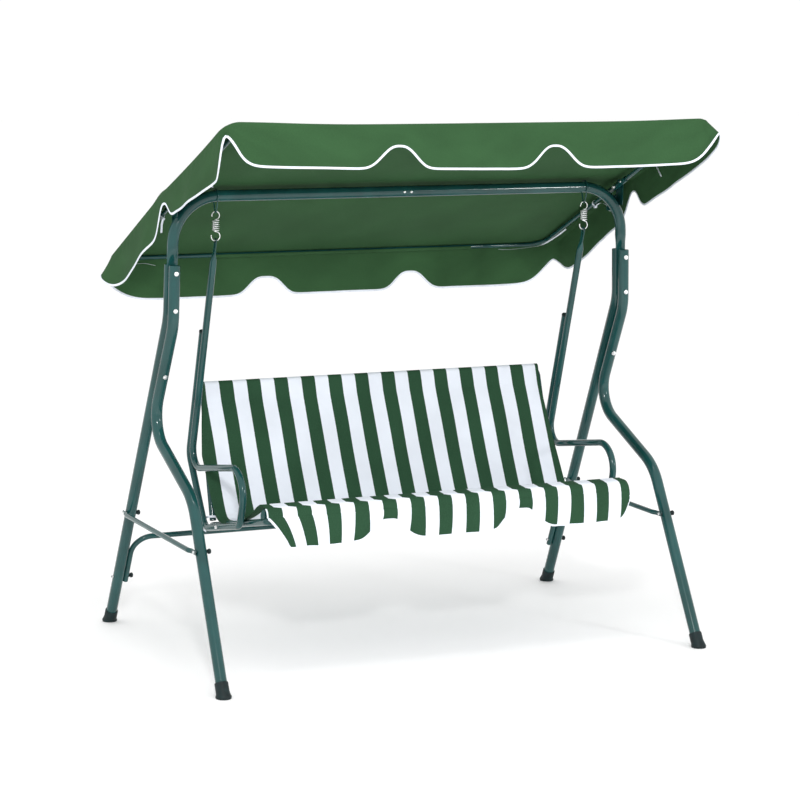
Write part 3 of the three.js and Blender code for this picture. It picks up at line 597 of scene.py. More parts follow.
def bolt_grids(line, head_radius, nut=True):
    """Washer, hexagon head, shank and nut along a line from the head's face to the bolt's tip."""
    face, tip = np.asarray(line[0]), np.asarray(line[1])
    axis = unit(tip - face)
    length = float(np.linalg.norm(tip - face))
    head = head_radius * 0.62
    rim = head_radius * 1.18
    washer = [[0, -WASHER], [head_radius * 1.1, -WASHER], [rim, -0.0008], [rim, 0], [0, 0]]
    shank = [[0, 0], [BOLT_R, 0], [BOLT_R, length - 0.0008], [BOLT_R - 0.0008, length], [0, length]]
    grids = [
        hexagon(face - axis * (head + WASHER), face, head_radius, head),
        turned_grid(washer, face, tip),
        turned_grid(shank, face, tip, 16),
    ]
    if nut:
        seat = tip - axis * BOLT_TAIL
        grids.append(turned_grid(washer, seat + axis * 0.0018, tip))
        grids.append(hexagon(seat + axis * 0.0075, seat, head_radius * 0.95, 0.0055))
    return grids


def leg_bolt_lines(side):
    radius = sizes().stand_tube_radius
    lines = [(on_frame(side, leg_y(-1) - radius - GAP, z), on_frame(side, leg_y(1) + radius + BOLT_TAIL, z))
             for z in LEG_BOLT_Z]
    across = unit(np.array([0, 1, FRONT_LEG_TILT]))
    middle = on_frame(side, *FRONT_LEG_AT)
    lines.append((middle - across * (radius + GAP), middle + across * (3 * radius + 2 * BOLT_TAIL)))
    return dict(zip(("upper", "middle", "lower"), lines))


def bracket_bolt_line(side):
    bend_x = lean_x(BAR_Z) - ARCH_BEND_R
    x = side * (bend_x + ARCH_BEND_R * math.sin(BRACKET_BOLT_ANGLE))
    z = BAR_Z - ARCH_BEND_R + ARCH_BEND_R * math.cos(BRACKET_BOLT_ANGLE)
    y = STAND_TUBE_R + 3 * GAP + BRACKET_SHEET
    return np.array([x, y, z]), np.array([x, STAND_TUBE_R - LEG_WALL - 0.007, z])


def tilt_bolt_line(side):
    ends = (BRACKET_OUTER_X + GAP, BOW_X - SLEEVE_R - BOLT_TAIL)
    return tuple(np.array([side * x, 0, BAR_Z]) for x in ends)


def knob_lines(side):
    """Face and tip of each knob screw of a side frame, by the name of its node."""
    radius = sizes().stand_tube_radius
    lines = {}
    for name, y in (("brace_knob_front", front_leg_y(BRACE_Z)), ("brace_knob_rear", rear_leg_y(BRACE_Z))):
        x = side * lean_x(BRACE_Z)
        lines[name] = (np.array([x + radius + GAP, y, BRACE_Z]), np.array([x - radius - BRACE_R, y, BRACE_Z]))
    x, y = side * lean_x(TIE_KNOB_Z), rear_leg_y(TIE_KNOB_Z)
    inner = x + radius + GAP + (2 * TIE_R + GAP if side < 0 else 0)
    outer = x - radius - 0.006 - (2 * TIE_R if side > 0 else 0)
    lines["tie_knob"] = (np.array([inner, y, TIE_KNOB_Z]), np.array([outer, y, TIE_KNOB_Z]))
    return lines


def knob_grid(face, tip):
    """Black knob: a turned waist with a head whose radius waves eight times round."""
    profile = [[0, -0.013], [0.0055, -0.013], [0.0072, -0.0118], [0.0078, -0.0095], [0.0078, -0.006],
               [0.0070, -0.0045], [0.0055, -0.0036], [0.0055, -0.0012], [0.0065, 0], [0, 0]]
    sides = 48
    grid, *wraps = turned_grid(profile, face, tip, sides)
    weight = np.array([0, 0.6, 1, 1, 1, 0.6, 0, 0, 0, 0])[:, None, None]
    centre = grid.mean(axis=1, keepdims=True)
    return centre + (grid - centre) * (1 + 0.07 * weight * np.cos(8 * around(sides))), *wraps


def make_stand_fasteners(side, label):
    for place, line in leg_bolt_lines(side).items():
        bolt = make_object(f"leg_bolt_set_{place}_{label}", bolt_grids(line, BOLT_HEAD),
                           "zinc_plated_steel", "stand")
        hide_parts(f"leg_bolt_{place}_{label}")
    for name, line, head, nut in (("bracket_bolt", bracket_bolt_line(side), BOLT_HEAD, False),
                                  ("tilt_bolt", tilt_bolt_line(side), TILT_BOLT_HEAD, True)):
        bolt = make_object(f"{name}_set_{label}", bolt_grids(line, head, nut), "zinc_plated_steel", "stand")
        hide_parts(f"{name}_{label}")
    for name, (face, tip) in knob_lines(side).items():
        knob = make_object(f"{name}_head_{label}", [knob_grid(face, tip)], "black_plastic", "stand")
        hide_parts(f"{name}_{label}")
        seat = tip + unit(face - tip) * (0.0035 if name == "tie_knob" else 0.0028)
        nut = [turned_grid([[0, 0], [BOLT_R, 0], [BOLT_R, 0.012], [0, 0.012]], tip, face, 16),
               hexagon(seat - unit(face - tip) * 0.0035, seat, 0.0055, 0.0035)]
        make_object(f"{name}_nut_{label}", nut, "zinc_plated_steel", "stand")


ARCH_SCREW_X = 0.012


def make_arch_screws():
    """The two round-headed screws beside the arch's joint."""
    profile = [[0, -0.0026], [0.0025, -0.0023], [0.0042, -0.0012], [0.0048, 0], [0.0048, 0.0008], [0, 0.0008]]
    for label, side in SIDES.items():
        face = np.array([side * ARCH_SCREW_X, -sizes().stand_tube_radius, BAR_Z])
        screw = turned_grid(profile, face, face + [0, 1, 0])
        make_object(f"arch_screw_{label}", [screw], "zinc_plated_steel", "stand")


# ---------- suspension ----------
def make_wire_loop(side, label):
    """Wire bent over the bar: an arc over it, tangent to a small arc under it, both in one plane."""
    top_radius = STAND_TUBE_R + 4 * GAP + WIRE_R
    low_radius = 0.006
    drop = BAR_Z - (LOOP_LOW_Z + low_radius)
    lean = math.asin((top_radius - low_radius) / drop)
    slit = 0.05
    spans = [(LOOP_LOW_Z + low_radius, low_radius, -math.pi / 2 + slit, -lean, 10),
             (BAR_Z, top_radius, -lean, math.pi + lean, 48),
             (LOOP_LOW_Z + low_radius, low_radius, math.pi + lean, 1.5 * math.pi - slit, 10)]
    points, tangents = [], []
    for centre, radius, start, end, steps in spans:
        angle = np.linspace(start, end, steps)
        x = np.full_like(angle, side * HANGER_X)
        points.append(np.column_stack([x, radius * np.cos(angle), centre + radius * np.sin(angle)]))
        tangents.append(np.column_stack([0 * x, -np.sin(angle), np.cos(angle)]))
    path = np.vstack(points), np.vstack(tangents)
    loop = make_object(f"loop_wire_{label}", [bar_grid(path, (1, 0, 0), WIRE_R)],
                       "powder_coated_steel", "hanger_loops")
    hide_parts(f"wire_loop_{label}")


def carried_axis(tangents, start):
    """The first cross axis carried along a path without twist: at each station, last one made square again."""
    axes = [np.asarray(start, float)]
    for tangent in tangents[1:]:
        axes.append(unit(axes[-1] - tangent * (axes[-1] @ tangent)))
    return np.array(axes)


def make_spring(side, label):
    """Extension spring: a hook in the XZ plane, a helix that opens from the axis and closes to it, a wider hook."""
    top = LOOP_LOW_Z + WIRE_R + GAP + SPRING_WIRE_R
    upper, lower = top - UPPER_HOOK_R, HOOK_PIN_Z + LOWER_HOOK_R
    coil_top, coil_low = upper - UPPER_HOOK_R, lower + LOWER_HOOK_R
    hook = np.radians(np.linspace(195, -90, 40)[:-1])
    zero = np.zeros_like(hook)
    first = np.column_stack([UPPER_HOOK_R * np.cos(hook), zero, upper + UPPER_HOOK_R * np.sin(hook)])
    turn = np.linspace(0, SPRING_TURNS, SPRING_TURNS * 28 + 1)
    opened = np.clip(np.minimum(turn, SPRING_TURNS - turn) / 0.5, 0, 1)
    radius = SPRING_R * np.sin(opened * math.pi / 2)
    angle = math.pi + 2 * math.pi * turn
    coil = np.column_stack([radius * np.cos(angle), radius * np.sin(angle),
                            coil_top + (coil_low - coil_top) * turn / SPRING_TURNS])
    hook = np.radians(np.linspace(90, -195, 40)[1:])
    last = np.column_stack([LOWER_HOOK_R * np.cos(hook), zero, lower + LOWER_HOOK_R * np.sin(hook)])
    points = np.vstack([first, coil, last]) + [side * HANGER_X, 0, 0]
    tangents = unit(np.gradient(points, axis=0))
    first = carried_axis(tangents, (0, 1, 0))
    second = np.cross(tangents, first)
    angle = around(12)
    rings = points[:, None] + SPRING_WIRE_R * (first[:, None] * np.cos(angle) + second[:, None] * np.sin(angle))
    spring = make_object(f"spring_coil_{label}", [(poled(rings, points), False, True)], "zinc_plated_steel", None)
    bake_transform(spring)
    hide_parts(f"spring_{label}")


# ---------- bench ----------
def on_side(side, place, x=HANGER_X):
    return np.array([side * x, *place])


HANGER_RUN = unit(np.array([ARM_REAR[0], ARM_REAR[1] - HOOK_PIN_Z]))
EYE_Z = HOOK_PIN_Z + SPRING_WIRE_R + 3 * GAP - EYE_R


def beside_hanger(z, offset):
    along = (z - HOOK_PIN_Z) / HANGER_RUN[1]
    return HANGER_RUN[0] * along - HANGER_RUN[1] * offset, z + HANGER_RUN[0] * offset


def drill(piece, start, towards, radius):
    """Cuts a round hole through a piece and keeps the result as its mesh."""
    length = float(np.linalg.norm(towards - start))
    pin = turned_grid([[0, 0], [radius, 0], [radius, length], [0, length]], start, towards, 32)
    cutter = make_object("drill", [pin], "powder_coated_steel", None)
    cut = piece.modifiers.new("hole", "BOOLEAN")
    cut.operation, cut.solver, cut.object = "DIFFERENCE", "EXACT", cutter
    shown = piece.evaluated_get(bpy.context.evaluated_depsgraph_get())
    mesh = bpy.data.meshes.new_from_object(shown)
    piece.modifiers.clear()
    piece.data = mesh
    bpy.data.objects.remove(cutter)


def make_hanger(side, label):
    """Hanger and armrest: one tube, its top pressed flat along X and pierced for the spring's hook."""
    radius = sizes().bench_tube_radius
    above = (-HANGER_RUN[0] * 0.010, EYE_Z - HANGER_RUN[1] * 0.010)
    corners = [on_side(side, place) for place in (above, ARM_REAR, ARM_FRONT, ARM_LOW, ARM_END)]
    points, tangents = rounded_path(corners, (0.055, 0.080, 0.032))
    pressed_to, round_from = 1.282, 1.248
    extra = [on_side(side, beside_hanger(z, 0)) for z in np.linspace(pressed_to, round_from, 8)]
    points = np.vstack([points[:1], extra, points[1:]])
    tangents = np.vstack([np.repeat(tangents[:1], len(extra) + 1, axis=0), tangents[1:]])
    grid, *wraps = tube_grid((points, tangents), (1, 0, 0), radius, TUBE_WALL)
    pressed = ease((grid[..., 2] - round_from) / (pressed_to - round_from))
    grid[..., 0] = side * HANGER_X + (grid[..., 0] - side * HANGER_X) * (1 - 0.8 * pressed)
    hanger = make_object(f"hanger_tube_{label}", [(grid, *wraps)], "powder_coated_steel", "bench")
    ends = [on_side(side, (0, EYE_Z), HANGER_X + reach) for reach in (-0.03, 0.03)]
    drill(hanger, *ends, EYE_R)
    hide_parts(f"hanger_{label}")


def make_side_rail(side, label):
    """Upright and side rail: one tube behind the hanger, turned forward under the seat."""
    radius = sizes().bench_tube_radius
    top = on_side(side, beside_hanger(UPRIGHT_TOP_Z, UPRIGHT_OFFSET))
    elbow = on_side(side, beside_hanger(UPRIGHT_ELBOW_Z, UPRIGHT_OFFSET))
    path = rounded_path([top, elbow, on_side(side, RAIL_REAR), on_side(side, ARM_END)], (0.060, 0.050))
    rail = make_object(f"side_rail_tube_{label}", [tube_grid(path, (1, 0, 0), radius, TUBE_WALL)],
                       "powder_coated_steel", "bench")
    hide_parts(f"side_rail_{label}")
    base = top + unit(top - elbow) * GAP
    rim = radius + 0.0006
    profile = [[0, 0], [radius + 0.0004, 0], [rim, 0.0006], [rim, 0.004], [radius, 0.0058],
               [radius - 0.003, 0.0076], [radius - 0.007, 0.0082], [0, 0.0084]]
    cap = make_object(f"upright_plug_{label}", [turned_grid(profile, base, base + top - elbow, 32)],
                      "black_plastic", "bench")
    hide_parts(f"upright_cap_{label}")


def make_bench_bolts(side, label):
    radius = BENCH_TUBE_R
    for place, z in zip(("lower", "upper"), HANGER_BOLT_Z):
        offsets = (UPRIGHT_OFFSET + radius + GAP, -radius - 0.005)
        line = [on_side(side, beside_hanger(z, offset)) for offset in offsets]
        bolt = make_object(f"hanger_bolt_set_{place}_{label}", bolt_grids(line, BENCH_BOLT_HEAD, nut=False),
                           "powder_coated_steel", "bench")
        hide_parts(f"hanger_bolt_{place}_{label}")
    fraction = (SEAT_BOLT_Y - ARM_END[0]) / (RAIL_REAR[0] - ARM_END[0])
    place = (SEAT_BOLT_Y, ARM_END[1] + (RAIL_REAR[1] - ARM_END[1]) * fraction)
    line = (on_side(side, place, HANGER_X + radius + GAP), on_side(side, place, FRAME_X - radius - 0.006))
    bolt = make_object(f"seat_bolt_set_{label}", bolt_grids(line, BENCH_BOLT_HEAD, nut=False),
                       "zinc_plated_steel", "bench")
    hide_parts(f"seat_bolt_{label}")


def mirrored_corners(places, widths=None):
    widths = widths or [FRAME_X] * len(places)
    left, right = ([on_side(side, place, x) for place, x in zip(places, widths)] for side in (-1, 1))
    return left + right[::-1]


def make_seat_tubes():
    """The seat frame, the front tube that stands on it, the rear cross tube and the back's frame."""
    radius = sizes().bench_tube_radius
    above_rail = (SEAT_FRONT[0], SEAT_FRONT[1] - 0.030)
    reach = FRAME_X - radius - GAP
    back_low = (BACK_FOOT[0] + 0.005, BACK_FOOT[1] + 0.016)
    tubes = {
        "seat_frame": (mirrored_corners([FRAME_REAR, FRAME_FRONT]), (0.028, 0.028)),
        "seat_front_tube": (mirrored_corners([above_rail, SEAT_FRONT]), (0.024, 0.024)),
        "seat_rear_tube": ([on_side(side, SEAT_REAR, reach) for side in (-1, 1)], ()),
        "back_frame": (mirrored_corners([back_low, BACK_MIDDLE, BACK_TOP], BACK_X), (0.26, 0.03, 0.03, 0.26)),
    }
    for name, (corners, bends) in tubes.items():
        path = rounded_path(corners, bends)
        across = unit(np.cross(corners[1] - corners[0], corners[-1] - corners[0])) if bends else (0, 1, 0)
        piece = make_object(f"{name}_finish", [tube_grid(path, across, radius, TUBE_WALL)],
                            "powder_coated_steel", "bench")
        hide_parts(name)


# ---------- cloth ----------
def smooth_line(points, steps):
    """A curve through the points: a cubic between each two whose slopes are taken from their neighbours."""
    points = np.asarray(points, float)
    padded = np.vstack([2 * points[0] - points[1], points, 2 * points[-1] - points[-2]])
    t = np.linspace(0, 1, steps, endpoint=False)[None, :, None]
    p0, p1, p2, p3 = (padded[i:len(padded) - 3 + i][:, None] for i in range(4))
    square, cube = 2 * p0 - 5 * p1 + 4 * p2 - p3, 3 * p1 - p0 - 3 * p2 + p3
    curve = 0.5 * (2 * p1 + (p2 - p0) * t + square * t ** 2 + cube * t ** 3)
    return np.vstack([curve.reshape(-1, points.shape[1]), points[-1:]])


def evenly(line, count):
    """The line again as `count` points at equal distances along it, and their distances from its start."""
    run = np.concatenate([[0], np.cumsum(np.linalg.norm(np.diff(line, axis=0), axis=1))])
    distance = np.linspace(0, run[-1], count)
    return np.column_stack([np.interp(distance, run, line[:, axis]) for axis in range(line.shape[1])]), distance


def arc(centre, radius, start, end, steps):
    angle = np.radians(np.linspace(start, end, steps + 1))
    return np.column_stack([centre[0] + radius * np.cos(angle), centre[1] + radius * np.sin(angle)])


def bump(position, centre, half_width):
    """A smooth hump of height 1 at its centre that falls to 0 at half_width from it."""
    away = np.clip(np.abs(position - centre) / half_width, 0, 1)
    return 0.5 + 0.5 * np.cos(math.pi * away)


def thicken(piece, thickness):
    """Gives a cloth surface its thickness, equally to both sides."""
    solid = piece.modifiers.new("thickness", "SOLIDIFY")
    solid.thickness, solid.offset, solid.use_even_offset = thickness, 0.0, False


def hump(distance, reach, power=2.5):
    """1 at its middle, with a rounded top and a soft foot: exp(-(distance / reach) ^ power)."""
    return np.exp(-(np.abs(distance) / reach) ** power)


CLOTH_THICKNESS = 0.0016
SLING_NOTCHES = (-0.226, 0.239)
SLING_NOTCH_RISE = 0.066
SLING_LOW_Z = 0.411
SLING_SHIFT = -0.0045  # how far the middle stripe is from the middle of the bench
VALANCE_SEAM = 0.034  # distance of the valance's seam behind the seat's front edge
VALANCE_OFFSET = 0.024  # how far the sewn-on valance's stripes are from the seat's
# The sling's left and right edge by share of its length: back's hem, below it, back's widest, both sides of the
# crease, seat's front edge, top of the valance.
EDGE_SHARE = (0, 0.08, 0.3, 0.55, 0.62, 0.9, 1)
LEFT_EDGE_X = (-0.613, -0.616, -0.650, -0.640, -0.636, -0.634, -0.633)
RIGHT_EDGE_X = (0.609, 0.607, 0.616, 0.627, 0.627, 0.618, 0.629)


def sling_profile():
    """Side view of the sling's middle, from the hem behind the back's top tube to the top of the valance."""
    wrap = BENCH_TUBE_R + 4 * GAP + CLOTH / 2
    return np.vstack([
        arc(BACK_TOP, wrap, -35, 150, 16),
        smooth_line([(0.2085, 0.805), (0.148, 0.690), (0.092, 0.565), (0.036, 0.456)], 8)[2:-1],
        arc((-0.008, 0.474), 0.045, -25, -98, 8),
        smooth_line([(-0.030, 0.4297), (-0.140, 0.4525), (-0.250, 0.493), (-0.326, 0.5385)], 8)[2:-2],
        arc(SEAT_FRONT, wrap, 78, 112, 4),
        arc((SEAT_FRONT[0] - 0.024, SEAT_FRONT[1] - 0.018), 0.030, 108, 180, 8),
    ])


def make_sling():
    """The sling: the side profile drawn between two edge lines, then a valance that drops to a notched edge."""
    columns, rows, drops = 261, 160, 28
    line, along = evenly(sling_profile(), rows)
    across = np.linspace(-1, 1, columns)
    share = along / along[-1]
    left, right = (np.interp(share, EDGE_SHARE, places) for places in (LEFT_EDGE_X, RIGHT_EDGE_X))
    x = (left + right)[:, None] / 2 + (right - left)[:, None] / 2 * across
    edge = np.abs(across)[None, :] ** 24
    back = bump(along, 0.20, 0.21)[:, None]
    seat = bump(along, 0.62, 0.15)[:, None]
    y = line[:, 0][:, None] + back * (0.006 * (1 - across ** 2) + 0.012 * edge)
    y = y + 0.0015 * back * np.sin(19 * across + 12 * share[:, None])
    z = line[:, 1][:, None] - seat * 0.007 * (1 - across ** 2) + 0.0012 * seat * np.sin(23 * across + 1.0)
    z = z - 0.018 * seat * np.clip((np.abs(across) - 0.955) / 0.045, 0, 1) ** 1.5
    body = np.stack([x, y, z], axis=-1)

    fall = np.linspace(0, 1, drops + 1)[1:][:, None]
    top_x, (top_y, top_z) = x[-1], line[-1]
    lean = 0.062 * np.clip((-across - 0.55) / 0.45, 0, 1) ** 1.5
    low_x = top_x + lean
    low = SLING_LOW_Z + sum(SLING_NOTCH_RISE * hump(low_x - notch, 0.072, 2.6) for notch in SLING_NOTCHES)
    low = low + 0.060 * np.clip((across - 0.92) / 0.08, 0, 1) ** 2.5
    low = low + 0.020 * np.clip((-across - 0.95) / 0.05, 0, 1) ** 2
    flutter = 0.0045 * np.sin(21 * across + 1.1) + 0.0035 * np.sin(43 * across + 0.4) + 0.002 * np.sin(77 * across)
    valance = np.stack([
        top_x + lean * fall ** 0.8 + 0.002 * fall ** 2 * np.sin(36 * across),
        top_y - 0.002 + fall * (0.001 + flutter) - 0.004 * np.sin(fall * math.pi),
        top_z + (low - top_z) * fall,
    ], axis=-1)
    grid = np.concatenate([body, valance])
    offset = VALANCE_OFFSET * (1 - ((across + 1) / 2) ** 3)
    sewn_on = (along > along[-1] - VALANCE_SEAM)[:, None]
    u = np.concatenate([x - offset * sewn_on, np.broadcast_to(top_x - offset, (drops, columns))]) - SLING_SHIFT
    v = np.concatenate([np.broadcast_to(along[:, None], (rows, columns)), along[-1] + (top_z - low) * fall])
    sling = make_object("sling_cloth", [(grid[::-1], False, False)], "striped_canvas", "bench", crease=180,
                        recalc=False, uv=np.stack([u, v], axis=-1)[::-1])
    thicken(sling, CLOTH_THICKNESS)
    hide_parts("sling")

    border = np.concatenate([grid[-drops:, 0], grid[-1, 1:-1], grid[-drops:, -1][::-1]])
    hem = binding("sling_binding", border, closed=False, body="bench")
    make_lacing()


LACING_SHARES = (0.78, 0.86, 0.94)  # places of the loops, from the back's foot to its middle
LACING_LOOP_R, LACING_CORD_R = 0.0136, 0.0016
LACING_SLANT = 0.004
SEAT_CORNER_TIE = [(-0.612, 0.045, 0.428), (-0.634, 0.085, 0.424), (-0.645, 0.125, 0.410), (-0.644, 0.150, 0.388),
                   (-0.636, 0.152, 0.372), (-0.630, 0.135, 0.366)]


def make_lacing():
    """White cord looped round the back's side tubes, and the tie at the seat's rear left corner."""
    foot, middle = np.array(BACK_FOOT), np.array(BACK_MIDDLE)
    run = unit(middle - foot)
    outward = np.array([0, run[1], -run[0]])
    turn = np.radians(np.linspace(0, 360, 40, endpoint=False))
    round_tube = np.cos(turn)[:, None] * np.array([1.0, 0, 0]) + np.sin(turn)[:, None] * outward
    for label, side in SIDES.items():
        for index, share in enumerate(LACING_SHARES):
            place = foot + (middle - foot) * share - outward[1:] * 0.004
            ring = on_side(side, place, BACK_X[1] + 0.001) + LACING_LOOP_R * round_tube
            ring[:, 2] += LACING_SLANT * np.sin(turn)
            tangents = unit(np.roll(ring, -1, 0) - np.roll(ring, 1, 0))
            grid = swept((ring, tangents), (0, run[0], run[1]), LACING_CORD_R, 10)
            make_object(f"lacing_{index}_{label}", [(grid, True, True)], "white_tape", "bench")
    tape("seat_corner_tie", SEAT_CORNER_TIE, 0.007, "bench")


def oval_rings(line, tangents, facing, wide, thick):
    """Flat ovals along a line, the wide axis as near to `facing` as it can be."""
    first, second = cross_axes(tangents, np.array(facing, float))
    angle = around(12)
    return line[:, None] + wide * first[:, None] * np.cos(angle) + thick * second[:, None] * np.sin(angle)


def binding(name, line, closed, body):
    """White binding folded over a cloth's edge: a flat oval carried along the edge, its long axis upright."""
    tangents = unit((np.roll(line, -1, 0) - np.roll(line, 1, 0)) if closed else np.gradient(line, axis=0))
    rings = oval_rings(line, tangents, (0, 0, 1), sizes().piping_width / 2, CLOTH_THICKNESS)
    grid = rings if closed else poled(rings, line)
    return make_object(name, [(grid, closed, True)], "white_tape", body, crease=60)


# ---------- canopy ----------
def on_canopy(x, along, lift=0.0):
    y = along * math.cos(CANOPY_TILT) + lift * math.sin(CANOPY_TILT)
    z = BAR_Z - along * math.sin(CANOPY_TILT) + lift * math.cos(CANOPY_TILT)
    return np.array([x, y, z])


SLEEVE_HALF, SLEEVE_SCREW = 0.070, 0.045  # from the sleeve's middle to its ends and to its screws


def make_canopy_tubes():
    """Front and rear bow, and the sleeve that joins their arms on each side."""
    for end, reach, name in ((-1, FRONT_REACH, "canopy_front_bow"), (1, REAR_REACH, "canopy_rear_bow")):
        places = ((-BOW_X, end * 0.007), (-BOW_X, end * reach), (BOW_X, end * reach), (BOW_X, end * 0.007))
        corners = [on_canopy(*place) for place in places]
        normal = unit(np.cross(corners[1] - corners[0], corners[2] - corners[1]))
        path = rounded_path(corners, (0.06, 0.06))
        bow = make_object(f"{name}_finish", [tube_grid(path, normal, BOW_R, 0.001)],
                          "powder_coated_steel", "canopy")
        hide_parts(name)
    for label, side in SIDES.items():
        path = rounded_path([on_canopy(side * BOW_X, along) for along in (-SLEEVE_HALF, SLEEVE_HALF)], ())
        sleeve = make_object(f"arm_sleeve_finish_{label}", [tube_grid(path, (1, 0, 0), SLEEVE_R, 0.0014)],
                             "powder_coated_steel", "canopy")
        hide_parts(f"arm_sleeve_{label}")
        for place, along in (("front", -SLEEVE_SCREW), ("rear", SLEEVE_SCREW)):
            face = on_canopy(side * (BOW_X - SLEEVE_R), along)
            profile = [[0, -0.0024], [0.002, -0.0022], [0.0036, -0.001], [0.004, 0], [0.004, 0.002], [0, 0.002]]
            make_object(f"sleeve_screw_{place}_{label}", [turned_grid(profile, face, face + [side, 0, 0])],
                        "zinc_plated_steel", "canopy")


RIM_CORNER_R = 0.045
FRONT, RIGHT, REAR, LEFT = 0, 1, 2, 3


def cover_height(x, y):
    """Top of the cover: straight from ridge to bows, a dip between the arms, a fall beside them, full corners."""
    front, rear = on_canopy(0, -FRONT_REACH, BOW_R + 2 * GAP), on_canopy(0, REAR_REACH, BOW_R + 2 * GAP)
    ridge = BAR_Z + RIDGE_LIFT
    slope = np.where(y < 0, (ridge - front[2]) / -front[1], (rear[2] - ridge) / rear[1])
    between_arms = 1 - np.clip(np.abs(x) / BOW_X, 0, 1) ** 6
    dip = np.sin(np.clip(y / rear[1], 0, 1) * math.pi) + 0.5 * np.sin(np.clip(y / front[1], 0, 1) * math.pi)
    beside = np.clip((np.abs(x) - BOW_X) / (CANOPY_X - BOW_X), 0, 1)
    fullness = 0.012 * np.exp(-((x + CANOPY_X) / 0.26) ** 2) + 0.006 * np.exp(-((x - CANOPY_X) / 0.20) ** 2)
    height = ridge + CLOTH / 2 + slope * y
    return height - sizes().cloth_sag * dip * between_arms + 0.005 * bump(y, 0.03, 0.07) - 0.010 * beside ** 2 \
        + fullness * np.clip(-y / 0.5, 0, 1) ** 3


def rim(side_index, share):
    """Point, outward direction and distance from the corner on the rounded rectangle of the seam."""
    proud = BOW_R + 2 * GAP + CLOTH
    low = -FRONT_REACH * math.cos(CANOPY_TILT) - proud
    high = REAR_REACH * math.cos(CANOPY_TILT) + proud
    middle, half_y = (low + high) / 2, (high - low) / 2
    long_x = side_index % 2 == 0
    straight = np.where(long_x, CANOPY_X, half_y) - RIM_CORNER_R
    length = straight + RIM_CORNER_R * math.pi / 4
    along = share * length
    turn = np.clip((np.abs(along) - straight) / RIM_CORNER_R, 0, None)
    a = np.sign(along) * np.where(turn > 0, straight + RIM_CORNER_R * np.sin(turn), np.abs(along))
    b = np.where(long_x, half_y, CANOPY_X) - RIM_CORNER_R * (1 - np.cos(turn))
    across, outward = np.sign(along) * np.sin(turn), np.cos(turn)
    sign = np.where((side_index == FRONT) | (side_index == LEFT), -1.0, 1.0)
    x, y = np.where(long_x, a, sign * b), np.where(long_x, sign * b, a) + middle
    nx, ny = np.where(long_x, across, sign * outward), np.where(long_x, sign * outward, across)
    return x, y, nx, ny, length - np.abs(along)


def ease_in(distance, reach, power):
    """From 0 at the corner towards 1: 1 - exp(-(distance / reach) ^ power)."""
    return 1 - np.exp(-(distance / reach) ** power)


def valance_depth(side_index, x, y, gap):
    """Drop of the valance: each side's own lobes and notches, easing to a shallow hem at every corner."""
    front = 0.128 + 0.011 * np.clip((x + 0.5) / 0.6, 0, 1)
    front = front - 0.068 * (hump(x + 0.265, 0.068, 2.6) + hump(x - 0.265, 0.068, 2.6))
    rear = 0.142 - 0.060 * (hump(x + 0.265, 0.070, 3.0) + hump(x - 0.27, 0.068, 2.8))
    notch = hump(y + 0.008, np.where(y < -0.008, 0.052, 0.046), 2.4)
    left = np.where(y < 0, 0.100 + 0.112 * np.clip(-y - 0.117, 0, 1), 0.118 + 0.014 * bump(y, 0.33, 0.2))
    right = np.where(y < 0, 0.112, 0.118 + 0.014 * bump(y, 0.33, 0.2))
    left, right = left - (left - 0.041) * notch, right - (right - 0.038) * notch
    full = np.select([side_index == FRONT, side_index == REAR, side_index == LEFT], [front, rear, left], right)
    hem = np.where(y > 0, 0.058, np.where(x < 0, 0.030, 0.035))
    at_front = np.where(x < 0, ease_in(gap, 0.042, 1.6), ease_in(gap, 0.042, 1.7))
    at_side = np.where(x < 0, ease_in(gap, 0.022, 2.4), ease_in(gap, 0.050, 1.2))
    share = np.where(y > 0, ease_in(gap, 0.050, 1.5), np.where(side_index == FRONT, at_front, at_side))
    return hem + (full - hem) * share


